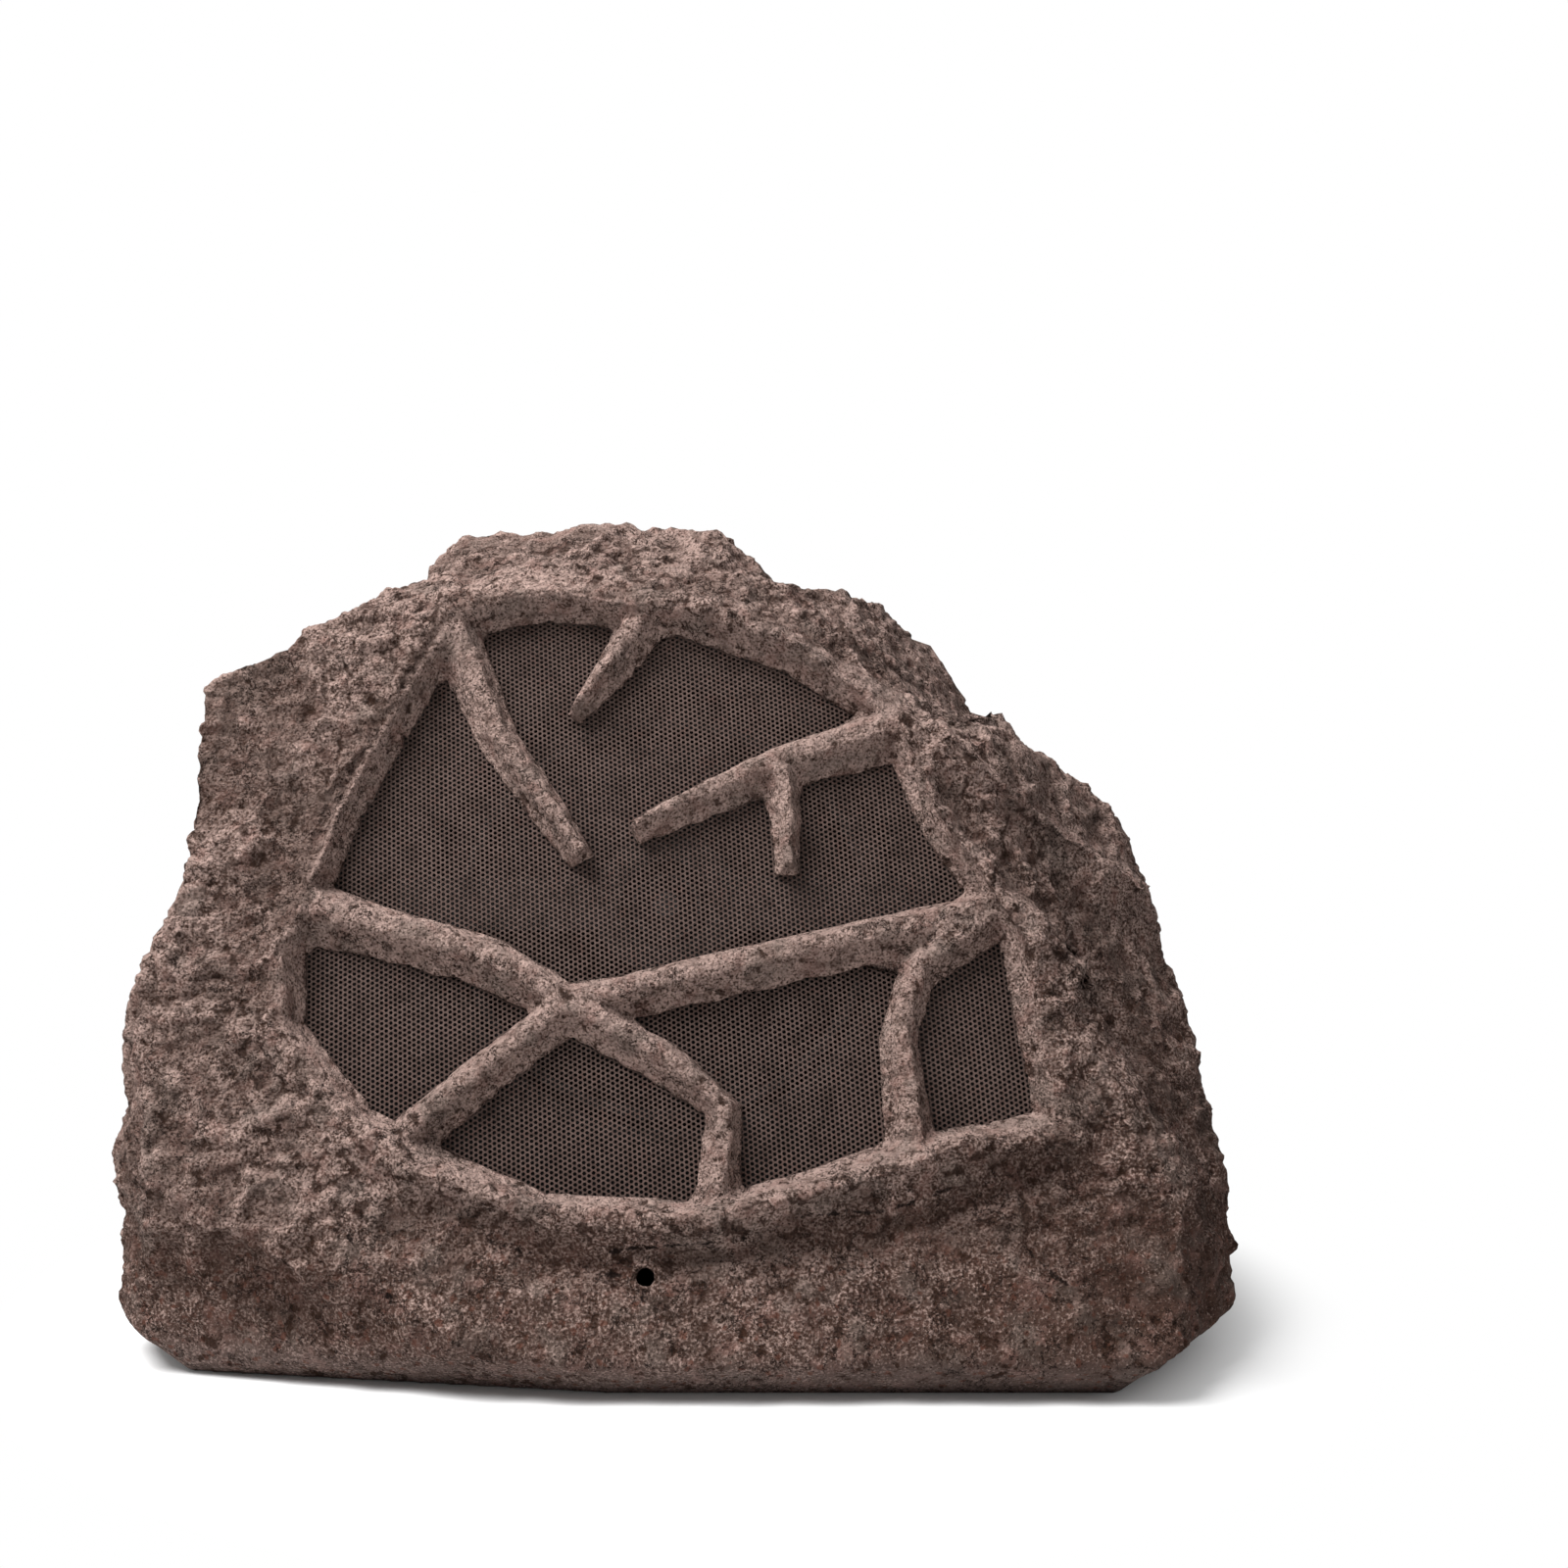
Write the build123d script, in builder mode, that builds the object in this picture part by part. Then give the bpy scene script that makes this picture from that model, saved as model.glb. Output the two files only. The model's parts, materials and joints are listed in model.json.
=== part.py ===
from build123d import *
import math
import os

# Rock shaped garden loudspeaker, in millimetres.
# Z is up, the listener stands on the -Y side, and the origin is the centre of the footprint.
# A depth is measured inwards from the leaning front face, square to it.

# Envelope and walls of the moulded stone shell
WIDTH = 440
DEPTH = 350
HEIGHT = 338
WALL = 6
FLOOR = 14
FRONT_LEAN = 18
FRONT_TOE = 16
FRONT_WALL = 13
DRAIN_BORE = 7
DRAIN_X = -11
DRAIN_RISE = 45

# Front opening on the leaning face: how far its centre lies above mid height, its flare at the crest of
# the rim, and its outline in hundredths of WIDTH and HEIGHT
OPENING_X = 0
OPENING_LIFT = 8
RIM_FLARE = 7.6
OPENING_SHAPE = [
    (-19.1, 34.0),
    (-11.8, 36.1),
    (0.9, 33.7),
    (9.5, 29.6),
    (18.0, 21.9),
    (21.6, 9.5),
    (28.0, -4.1),
    (30.0, -23.1),
    (18.4, -25.7),
    (10.9, -29.3),
    (0.9, -32.5),
    (-10.7, -31.7),
    (-19.1, -27.2),
    (-25.5, -22.8),
    (-31.6, -13.3),
    (-32.0, -5.9),
    (-28.2, 10.1),
    (-23.4, 23.1),
]

# Stone ribs across the opening: points of each centre line in the same hundredths, and half widths in mm
RIB_GAP = 0.4
RIB_SINK = 0.5
RIB_CREST = 0.35
RIB_CREST_SHIFT = 2.5
RIBS = {
    "left_arm": [(-35.9, 0.9, 14), (-25.0, -3.0, 11), (-16.4, -6.2, 11), (-8.2, -12.1, 9)],
    "right_arm": [(-11.4, -12.4, 9), (0.9, -8.6, 10), (13.9, -4.7, 10), (29.1, -0.6, 11)],
    "left_leg": [(-8.2, -10.7, 9), (-15.9, -18.6, 9), (-24.5, -28.4, 10)],
    "right_leg": [(-10.9, -10.7, 9), (-0.9, -17.8, 9), (4.1, -23.1, 8), (3.0, -37.9, 10)],
    "arch": [(26.4, -2.4, 9), (20.9, -7.4, 9), (19.1, -14.8, 8), (20.0, -31.4, 11)],
    "left_finger": [(-21.8, 38.5, 12), (-16.1, 20.7, 9), (-11.4, 11.8, 8), (-8.2, 5.6, 6)],
    "top_finger": [(-1.4, 39.6, 12), (-5.9, 29.6, 8), (-9.3, 23.4, 4)],
    "right_finger": [(19.5, 21.3, 12), (9.8, 17.5, 10), (2.7, 13.3, 8), (-3.9, 8.9, 5)],
    "right_twig": [(9.1, 18.3, 9), (9.8, 10.7, 7), (9.8, 3.8, 5)],
}

# Flat sides of the round pieces: large ones, small ones and screws
SIDES = 26
SMALL_SIDES = 24
SCREW_SIDES = 8

# Front stack, from the grille inwards
GRILLE_SHEET = 1
GRILLE_LAP = 6
GRILLE_SLACK = 0.3
GASKET_THICKNESS = 5
GASKET_INSET = 1
BAFFLE_LAP = 17
BAFFLE_THICKNESS = 12
BAFFLE_SLACK = 1
BAFFLE_SCREW_LAP = 11.5
BAFFLE_SCREW_LENGTH = 25
BAFFLE_EAR = 10.8
FLANGE_CLEARANCE = 1
SCREW_SHANK = 4
SCREW_HEAD = 8
SCREW_HEAD_HEIGHT = 2.5
SLACK = 0.1

# Woofer, on an axis square to the front face
WOOFER_X = -4
WOOFER_Y = 4
WOOFER_CUTOUT = 186
WOOFER_FLANGE = 212
WOOFER_FLANGE_SHEET = 2.5
WOOFER_GASKET = 1.5
BASKET_MOUTH = 184
BASKET_SHELF = 172
BASKET_WAIST = 120
BASKET_SHEET = 2.5
BASKET_WALL = 3
BASKET_WINDOWS = 6
BASKET_WINDOW_WIDTH = 44
BASKET_WINDOW_RADIUS = 80
BASKET_BORE = 48
SPIDER_DEPTH = 35
SPIDER_SEAT_BORE = 96
BASKET_DEPTH = 45
CONE_DIAMETER = 152
CONE_DEPTH = 24
CONE_SHEET = 1
CONE_DROP = 1
MOVING_GAP = 0.3
SURROUND_ROLL = 10.5
SURROUND_RISE = 6.5
SURROUND_SLOPE = 6.3
SURROUND_SHEET = 0.8
SPIDER_SHEET = 0.6
SPIDER_FOLD_BORES = (60, 78)
SPIDER_FOLD_WIDTH = 5
SPIDER_FOLD_RISE = 1.4
COIL_BORE = 37.2
COIL_FORMER_WALL = 0.5
COIL_FORMER_HEIGHT = 32
COIL_FORMER_TAIL = 1
COIL_WINDING_WALL = 0.6
COIL_WINDING_HEIGHT = 12
DUST_CAP_DIAMETER = 54
DUST_CAP_RISE = 9.5
DUST_CAP_SHOULDER = 38
DUST_CAP_SHOULDER_DROP = 3
DUST_CAP_CROWN = 16
DUST_CAP_SHEET = 0.8
TOP_PLATE_DIAMETER = 100
TOP_PLATE_BORE = 41.2
TOP_PLATE_HEIGHT = 6
MAGNET_DIAMETER = 110
MAGNET_BORE = 60
MAGNET_HEIGHT = 18
YOKE_HEIGHT = 6
POLE_DIAMETER = 36

# Tweeter on its bridge in front of the woofer
BRIDGE_LENGTH = 210
BRIDGE_WIDTH = 22
BRIDGE_THICKNESS = 3
BRIDGE_RING = 58
BRIDGE_BORE = 44
TWEETER_FACE = 52
TWEETER_FACE_LIP = 2
TWEETER_MOUTH = 27
TWEETER_FLARE = 4
TWEETER_DOME = 25
TWEETER_DOME_RISE = 4
TWEETER_DOME_CROWN = 10
TWEETER_RIM = 36
TWEETER_FILM = 0.5
TWEETER_CUP_WALL = 3
TWEETER_CUP_HEIGHT = 13
TWEETER_MAGNET = 21
TWEETER_MAGNET_HEIGHT = 8

# Base plate in the underside, screwed to a ledge
BASE_SIDE = 62
BASE_END = 53
BASE_CORNER = 40
BASE_RECESS = 4
BASE_THICKNESS = 4
BASE_GASKET = 1.5
BASE_LEDGE = 14
BASE_SLACK = 0.5
BASE_SCREW_LENGTH = 9

# Crossover on posts of the base plate
BOARD_X = 62
BOARD_Y = 42
BOARD_LENGTH = 96
BOARD_WIDTH = 66
BOARD_SHEET = 1.6
BOARD_POST = 8
BOARD_POST_HEIGHT = 7
BOARD_POST_INSET = 6
INDUCTOR_POINT = (-20, 8)
INDUCTOR_DIAMETER = 36
INDUCTOR_BORE = 15
INDUCTOR_HEIGHT = 18
CAPACITOR_POINT = (4, 4)
CAPACITOR_PITCH = 18
CAPACITOR_DIAMETER = 16
CAPACITOR_LENGTH = 32
RESISTOR_POINT = (12, -23)
RESISTOR_LENGTH = 24
RESISTOR_SIDE = 9
TERMINAL_POINT = (-18, -23)
TERMINAL_LENGTH = 22
TERMINAL_WIDTH = 10
TERMINAL_HEIGHT = 11

# Cable gland low in the back wall
GLAND_X = -60
GLAND_Z = 52
GLAND_POCKET = 36
GLAND_POCKET_DEPTH = 22
GLAND_BOSS = 46
GLAND_BOSS_WALL = 7
GLAND_THREAD = 16
GLAND_THREAD_LENGTH = 16
GLAND_COLLAR = 23
GLAND_COLLAR_HEIGHT = 5
GLAND_NUT_FLATS = 22
GLAND_NUT_HEIGHT = 5
GLAND_CAP_FLATS = 22
GLAND_CAP_CHAMFER = 3
GLAND_CAP_BORE = 8
GLAND_CAP_HEIGHT = 12
GLAND_SEAL = 11
GLAND_SEAL_LENGTH = 12
CABLE_BORE = 7.2

# Raised rim of the opening: how far out its foot and its crest lie, how deep the foot is sunk, its rise
RIM_FOOT = 36
RIM_CREST = 15
RIM_SINK = 16
RIM_RISE = 3.5

# Lumps on the large facets: their spacing, the room each keeps from the facet's edge, the half widths of
# foot and top, how deep the foot is sunk, the rise, sizes and turns that follow one another, and how
# squarely a facet may face the front
LUMP_PITCH = 56
LUMP_ROWS = 4
LUMP_MARGIN = 14
LUMP_SIDES = 5
LUMP_FOOT = 33
LUMP_TOP = 11
LUMP_SINK = 2
LUMP_RISE = 5
LUMP_SIZES = (1, 0.75, 0.9, 0.65, 0.95)
LUMP_TURN = 25
LUMP_FRONT = 0.99

# Masses of the stone: each block's gaps from the envelope, then the corners struck off it.
# A cut is the azimuth its facet faces (0 right, 90 back, 180 left, 270 front),
# the facet's slope above the horizon, and the depth struck off the block's corner.
MASSES = {
    "foot": {
        "gaps": {"left": 0, "right": 0, "front": 0, "back": 0, "bottom": 0, "top": 148},
        "cuts": [
            (180, 27, 31),
            (212, 2, 38),
            (256, -12, 41),
            (322, 6, 53),
            (321, 32, 98),
            (0, 6, 9),
            (40, 15, 95),
            (92, 12, 38),
            (138, 14, 96),
            (74, 36, 96),
            (108, 40, 96),
            (34, 34, 93),
            (146, 34, 106),
            (0, -48, 13),
            (45, -48, 51),
            (90, -48, 13),
            (135, -48, 53),
            (180, -48, 13),
            (215, -48, 35),
            (262, -48, 29),
            (270, -48, 11),
            (320, -48, 38),
        ],
    },
    "body": {
        "gaps": {"left": 31, "right": 70, "front": 0, "back": 16, "bottom": 90, "top": 26},
        "cuts": [
            (192, 61, 51),
            (228, 8, 58),
            (268, 48, 75),
            (331, 36, 108),
            (303, 40, 120),
            (5, 52, 32),
            (10, 20, 46),
            (88, 21, 71),
            (97, 50, 73),
            (140, 26, 135),
            (45, 24, 98),
            (130, 48, 106),
            (60, 52, 90),
        ],
    },
    "flank": {
        "gaps": {"left": 240, "right": 4, "front": 68, "back": 38, "bottom": 60, "top": 92},
        "cuts": [
            (355, 57, 41),
            (352, 16, 37),
            (312, 25, 72),
            (40, 18, 93),
            (80, 42, 81),
            (40, 55, 76),
        ],
    },
    "crown": {
        "gaps": {"left": 110, "right": 170, "front": 114, "back": 124, "bottom": 240, "top": 0},
        "cuts": [
            (185, 48, 14),
            (0, 48, 20),
            (270, 55, 16),
            (95, 46, 34),
            (225, 45, 25),
            (315, 45, 30),
            (145, 45, 40),
            (40, 44, 48),
        ],
    },
}

LEAN = math.radians(FRONT_LEAN)
OPENING_Z = HEIGHT / 2 + OPENING_LIFT
FRONT_SETBACK = (OPENING_Z - FRONT_TOE) * math.tan(LEAN)
FRONT = Plane(
    origin=(OPENING_X, FRONT_SETBACK - DEPTH / 2, OPENING_Z),
    x_dir=(1, 0, 0),
    z_dir=(0, -math.cos(LEAN), math.sin(LEAN)),
)
RIM_PLANE = FRONT.offset(RIM_RISE)
OPENING = [(x * WIDTH / 100, y * HEIGHT / 100) for x, y in OPENING_SHAPE]
DRAIN_POINT = (DRAIN_X - OPENING_X, (DRAIN_RISE - OPENING_Z) / math.cos(LEAN))


def behind(plane, depth):
    """The plane moved inwards by a depth."""
    return plane.offset(-depth)


def grown(outline, distance):
    """The outline, listed clockwise, with every side moved outwards and its corners kept sharp."""
    points = [Vector(*point) for point in outline]
    moved = []
    for before, here, after in zip(points[-1:] + points[:-1], points, points[1:] + points[:1]):
        first = (here - before).normalized()
        second = (after - here).normalized()
        out_first = Vector(-first.Y, first.X)
        out_second = Vector(-second.Y, second.X)
        mitre = (out_first + out_second) * (distance / (1 + out_first.dot(out_second)))
        moved.append((here.X + mitre.X, here.Y + mitre.Y))
    return moved


def kept_away(point, centre, distance):
    """The point, moved straight away from a centre where it lies nearer than a distance."""
    out = Vector(*point) - Vector(*centre)
    moved = Vector(*centre) + out.normalized() * max(out.length, distance)
    return (moved.X, moved.Y)


def struck(low, high, cut, pare):
    """The plane of a facet struck off the corner of a block."""
    azimuth, slope, depth = cut
    level = math.cos(math.radians(slope))
    out = Vector(
        level * math.cos(math.radians(azimuth)),
        level * math.sin(math.radians(azimuth)),
        math.sin(math.radians(slope)),
    )
    corner = Vector(
        high.X if out.X > 0 else low.X,
        high.Y if out.Y > 0 else low.Y,
        high.Z if out.Z > 0 else low.Z,
    )
    return Plane(corner - out * (depth + pare), z_dir=out)


def stone(mass, pare, floor):
    """One block of the stone with its corners struck off, pared back all round above a floor."""
    gaps = mass["gaps"]
    low = Vector(-WIDTH / 2 + gaps["left"], -DEPTH / 2 + gaps["front"], gaps["bottom"])
    high = Vector(WIDTH / 2 - gaps["right"], DEPTH / 2 - gaps["back"], HEIGHT - gaps["top"])
    bed = Plane(((low.X + high.X) / 2, (low.Y + high.Y) / 2, max(low.Z, floor)))
    with BuildPart(bed) as block:
        Box(
            high.X - low.X - 2 * pare,
            high.Y - low.Y - 2 * pare,
            high.Z - bed.origin.Z - pare,
            align=(Align.CENTER, Align.CENTER, Align.MIN),
        )
        for cut in mass["cuts"]:
            split(bisect_by=struck(low, high, cut, pare), keep=Keep.BOTTOM)
    return block.part


def fused_stones(pare, front_pare, floor):
    """All the masses as one body behind the leaning front face."""
    blocks = [stone(mass, pare, floor) for mass in MASSES.values()]
    with BuildPart() as body:
        add(blocks)
        split(bisect_by=behind(FRONT, front_pare), keep=Keep.BOTTOM)
    return body.part


def drawn_in(seat, outline, height, inset):
    """A block over an outline on a plane, with its sides drawn in towards its far end.

    It goes outwards where the outline runs counterclockwise and inwards where it runs clockwise.
    """
    with BuildPart() as block:
        with BuildSketch(seat):
            Polygon(*outline, align=None)
        extrude(amount=height, taper=math.degrees(math.atan2(inset, height)))
    return block.part


def lump(seat, number):
    """One low lump on a facet."""
    size = LUMP_SIZES[number % len(LUMP_SIZES)]
    corners = [math.radians(number * LUMP_TURN + side * 360 / LUMP_SIDES) for side in range(LUMP_SIDES)]
    foot = [(LUMP_FOOT * size * math.cos(turn), LUMP_FOOT * size * math.sin(turn)) for turn in corners]
    inset = (LUMP_FOOT - LUMP_TOP) * size * math.cos(math.pi / LUMP_SIDES)
    return drawn_in(behind(seat, LUMP_SINK), foot, LUMP_SINK + LUMP_RISE * size, inset)


def lump_seats(facet):
    """Planes for the lumps of a facet, on a staggered grid inside its edges."""
    middle = Plane(facet.center(), z_dir=facet.normal_at())
    span = range(-LUMP_ROWS, LUMP_ROWS + 1)
    room = [(0, 0), (LUMP_MARGIN, 0), (-LUMP_MARGIN, 0), (0, LUMP_MARGIN), (0, -LUMP_MARGIN)]
    seats = []
    for row in span:
        for column in span:
            x = (column + row % 2 / 2) * LUMP_PITCH
            y = row * LUMP_PITCH
            edge = [middle.from_local_coords((x + dx, y + dy, 0)) for dx, dy in room]
            if all(facet.is_inside(point) for point in edge):
                seats.append(Plane(edge[0], x_dir=middle.x_dir, z_dir=middle.z_dir))
    return seats


def lumped(body):
    """The stone with lumps on its large facets and a raised rim round the place of the opening."""
    facets = [
        facet for facet in body.faces()
        if facet.normal_at().Z > 0 and facet.normal_at().dot(FRONT.z_dir) < LUMP_FRONT
    ]
    seats = [seat for facet in facets for seat in lump_seats(facet)]
    knobs = [lump(seat, number) for number, seat in enumerate(seats)]
    foot = grown(OPENING, RIM_FOOT)[::-1]
    rim = drawn_in(behind(FRONT, RIM_SINK), foot, RIM_SINK + RIM_RISE, RIM_FOOT - RIM_CREST)
    with BuildPart() as swollen_rim:
        add(rim)
        add(fused_stones(-RIM_RISE, -RIM_RISE, 0), mode=Mode.INTERSECT)
    with BuildPart() as stone_body:
        add(body)
        add(knobs)
        add(swollen_rim.part)
        Box(
            WIDTH,
            DEPTH,
            HEIGHT,
            align=(Align.CENTER, Align.CENTER, Align.MIN),
            mode=Mode.INTERSECT,
        )
    return stone_body.part


def rib_outline(line, share, shift):
    """The outline of a rib: its centre line widened to both sides, moved up the face by a shift."""
    points = [Vector(x * WIDTH / 100, y * HEIGHT / 100) for x, y, half in line]
    upper = []
    lower = []
    for index, (here, (_, _, half)) in enumerate(zip(points, line)):
        ahead = points[min(index + 1, len(points) - 1)] - points[max(index - 1, 0)]
        side = Vector(-ahead.Y, ahead.X).normalized() * (half * share)
        upper.append((here.X + side.X, here.Y + side.Y + shift))
        lower.append((here.X - side.X, here.Y - side.Y + shift))
    return upper + lower[::-1]


def rib(line):
    """One stone rib, wide at the grille and drawn in to a crest."""
    with BuildPart() as bar:
        with BuildSketch(behind(FRONT, FRONT_WALL - GRILLE_SHEET - RIB_GAP)):
            Polygon(*rib_outline(line, 1, 0), align=None)
        with BuildSketch(behind(FRONT, RIB_SINK)):
            Polygon(*rib_outline(line, RIB_CREST, RIB_CREST_SHIFT), align=None)
        loft(ruled=True)
    return bar.part


# Planes and points the pieces are placed on
BAFFLE_DEPTH = FRONT_WALL + GASKET_THICKNESS
BAFFLE_BACK = BAFFLE_DEPTH + BAFFLE_THICKNESS
FLANGE_DEPTH = BAFFLE_BACK + WOOFER_GASKET
FLANGE_BACK = FLANGE_DEPTH + WOOFER_FLANGE_SHEET
SPIDER_SEAT = FLANGE_DEPTH + SPIDER_DEPTH
BASKET_BACK = FLANGE_DEPTH + BASKET_DEPTH
WOOFER = Plane(
    FRONT.from_local_coords((WOOFER_X, WOOFER_Y, 0)), x_dir=FRONT.x_dir, z_dir=FRONT.z_dir
)
SCREW_CIRCLE = (WOOFER_FLANGE + SCREW_HEAD) / 2 + FLANGE_CLEARANCE
BAFFLE_SCREW_POINTS = [
    kept_away(point, (WOOFER_X, WOOFER_Y), SCREW_CIRCLE)
    for point in grown(OPENING, BAFFLE_SCREW_LAP)[1::2]
]
BASE_WIDTH = WIDTH - 2 * BASE_SIDE
BASE_DEPTH = DEPTH - 2 * BASE_END
LEDGE_WIDTH = BASE_WIDTH - 2 * BASE_LEDGE
LEDGE_DEPTH = BASE_DEPTH - 2 * BASE_LEDGE
BASE_TOP = BASE_RECESS + BASE_THICKNESS
LEDGE_UNDERSIDE = BASE_TOP + BASE_GASKET
BASE_SCREW_X = BASE_WIDTH / 2 - BASE_LEDGE / 2
BASE_SCREW_Y = BASE_DEPTH / 2 - BASE_LEDGE / 2
BASE_SCREW_POINTS = [
    (-BASE_SCREW_X, 0),
    (BASE_SCREW_X, 0),
    (-BASE_SCREW_X / 2, -BASE_SCREW_Y),
    (BASE_SCREW_X / 2, -BASE_SCREW_Y),
    (-BASE_SCREW_X / 2, BASE_SCREW_Y),
    (BASE_SCREW_X / 2, BASE_SCREW_Y),
]
BOARD = Plane((BOARD_X, BOARD_Y, BASE_TOP + BOARD_POST_HEIGHT))
BOARD_FACE = BOARD.offset(BOARD_SHEET)
BOARD_POST_PITCH = (BOARD_LENGTH - 2 * BOARD_POST_INSET, BOARD_WIDTH - 2 * BOARD_POST_INSET)
GLAND_SEAT = Plane((GLAND_X, DEPTH / 2 - GLAND_POCKET_DEPTH, GLAND_Z), x_dir=(1, 0, 0), z_dir=(0, 1, 0))


def washer(plane, depth, outer, bore, height):
    """A flat ring square to a plane, from a depth inwards."""
    with BuildPart() as ring:
        with BuildSketch(behind(plane, depth)):
            RegularPolygon(outer / 2, SIDES)
            if bore:
                RegularPolygon(bore / 2, SIDES, mode=Mode.SUBTRACT)
        extrude(amount=-height)
    return ring.part


def spun(sections):
    """A round body on the woofer axis through diameters at given depths.

    Each step is drawn in from its wide end outwards, and mirrored there if it narrows inwards.
    """
    flat = math.cos(math.pi / SIDES) / 2
    with BuildPart() as body:
        for near, far in zip(sections, sections[1:]):
            narrow, wide = sorted((near, far), key=lambda section: section[1])
            seat = behind(WOOFER, wide[0])
            height = abs(wide[0] - narrow[0])
            slope = math.atan2((wide[1] - narrow[1]) * flat, height)
            with BuildSketch(seat):
                RegularPolygon(wide[1] / 2, SIDES)
            step = extrude(amount=height, taper=math.degrees(slope), mode=Mode.PRIVATE)
            if narrow[0] > wide[0]:
                step = mirror(step, about=seat, mode=Mode.PRIVATE)
            add(step)
    return body.part


def hollowed(outer, inner):
    """One body with another taken out of it."""
    with BuildPart() as shell:
        add(outer)
        add(inner, mode=Mode.SUBTRACT)
    return shell.part


def screws(plane, points, length):
    """A set of screws whose heads stand on a plane and whose shanks go below it."""
    with BuildPart() as group:
        with BuildSketch(plane):
            with Locations(*points):
                RegularPolygon(SCREW_SHANK / 2, SCREW_SIDES)
        extrude(amount=-length)
        with BuildSketch(plane):
            with Locations(*points):
                RegularPolygon(SCREW_HEAD / 2, SCREW_SIDES)
        extrude(amount=SCREW_HEAD_HEIGHT)
    return group.part


def keep(part, name):
    """Names a finished piece and writes it out."""
    part.label = name
    export_step(part, "parts/" + name + ".step")


os.makedirs("parts", exist_ok=True)

# Stone shell
solid_rock = lumped(fused_stones(0, 0, 0))
hollow = fused_stones(WALL, FRONT_WALL, FLOOR)
board_room = fused_stones(WALL + BAFFLE_SLACK, FRONT_WALL, FLOOR)
ribs = [rib(line) for line in RIBS.values()]
flare = drawn_in(RIM_PLANE, grown(OPENING, RIM_FLARE), RIM_RISE + FRONT_WALL, RIM_FLARE)
with BuildPart() as gland_boss:
    with BuildSketch(behind(GLAND_SEAT, GLAND_BOSS_WALL)):
        RegularPolygon(GLAND_BOSS / 2, SMALL_SIDES)
    extrude(amount=GLAND_BOSS_WALL + GLAND_POCKET_DEPTH)
    add(solid_rock, mode=Mode.INTERSECT)
with BuildPart() as rock_shell:
    add(solid_rock)
    add(hollow, mode=Mode.SUBTRACT)
    add(flare, mode=Mode.SUBTRACT)
    with BuildSketch(behind(FRONT, FRONT_WALL)):
        with Locations(*BAFFLE_SCREW_POINTS):
            RegularPolygon(SCREW_HEAD / 2 + FLANGE_CLEARANCE, SCREW_SIDES)
    extrude(amount=FRONT_WALL - BAFFLE_BACK - SCREW_HEAD_HEIGHT - SLACK, mode=Mode.SUBTRACT)
    add(ribs)
    with BuildSketch(behind(FRONT, FRONT_WALL)):
        Polygon(*grown(OPENING, GRILLE_LAP + GRILLE_SLACK), align=None)
    extrude(amount=GRILLE_SHEET, mode=Mode.SUBTRACT)
    with BuildSketch(behind(FRONT, FRONT_WALL)):
        with Locations(*BAFFLE_SCREW_POINTS):
            RegularPolygon(SCREW_SHANK / 2 + SLACK, SCREW_SIDES)
    extrude(amount=BAFFLE_SCREW_LENGTH - BAFFLE_BACK + FRONT_WALL + SLACK, mode=Mode.SUBTRACT)
    with BuildSketch(FRONT):
        with Locations(DRAIN_POINT):
            Circle(DRAIN_BORE / 2)
    extrude(amount=-2 * FRONT_WALL, mode=Mode.SUBTRACT)
    with BuildSketch(Plane.XY):
        RectangleRounded(BASE_WIDTH + 2 * BASE_SLACK, BASE_DEPTH + 2 * BASE_SLACK, BASE_CORNER)
    extrude(amount=LEDGE_UNDERSIDE, mode=Mode.SUBTRACT)
    with BuildSketch(Plane.XY.offset(LEDGE_UNDERSIDE)):
        RectangleRounded(LEDGE_WIDTH, LEDGE_DEPTH, BASE_CORNER - BASE_LEDGE)
    extrude(amount=FLOOR - LEDGE_UNDERSIDE, mode=Mode.SUBTRACT)
    with BuildSketch(Plane.XY.offset(LEDGE_UNDERSIDE)):
        with Locations(*BASE_SCREW_POINTS):
            RegularPolygon(SCREW_SHANK / 2 + SLACK, SCREW_SIDES)
    extrude(amount=BASE_SCREW_LENGTH - LEDGE_UNDERSIDE + BASE_RECESS + SLACK, mode=Mode.SUBTRACT)
    add(gland_boss.part)
    with BuildSketch(GLAND_SEAT):
        RegularPolygon(GLAND_POCKET / 2, SMALL_SIDES)
    extrude(amount=GLAND_POCKET_DEPTH, mode=Mode.SUBTRACT)
    with BuildSketch(GLAND_SEAT):
        RegularPolygon(GLAND_THREAD / 2 + SLACK, SMALL_SIDES)
    extrude(amount=-GLAND_BOSS_WALL, mode=Mode.SUBTRACT)
keep(rock_shell.part, "rock_shell")

# Grille sheet, foam gasket and baffle board behind the front wall
with BuildPart() as grille:
    with BuildSketch(behind(FRONT, FRONT_WALL)):
        Polygon(*grown(OPENING, GRILLE_LAP), align=None)
    extrude(amount=GRILLE_SHEET)
keep(grille.part, "grille")

with BuildPart() as baffle_gasket:
    with BuildSketch(behind(FRONT, FRONT_WALL)):
        Polygon(*grown(OPENING, BAFFLE_LAP), align=None)
        with Locations(*BAFFLE_SCREW_POINTS):
            RegularPolygon(BAFFLE_EAR / 2, SCREW_SIDES)
        Polygon(*grown(OPENING, GASKET_INSET), align=None, mode=Mode.SUBTRACT)
        with Locations(*BAFFLE_SCREW_POINTS):
            RegularPolygon(SCREW_SHANK / 2 + SLACK, SCREW_SIDES, mode=Mode.SUBTRACT)
    extrude(amount=-GASKET_THICKNESS)
    add(board_room, mode=Mode.INTERSECT)
keep(baffle_gasket.part, "baffle_gasket")

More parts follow.
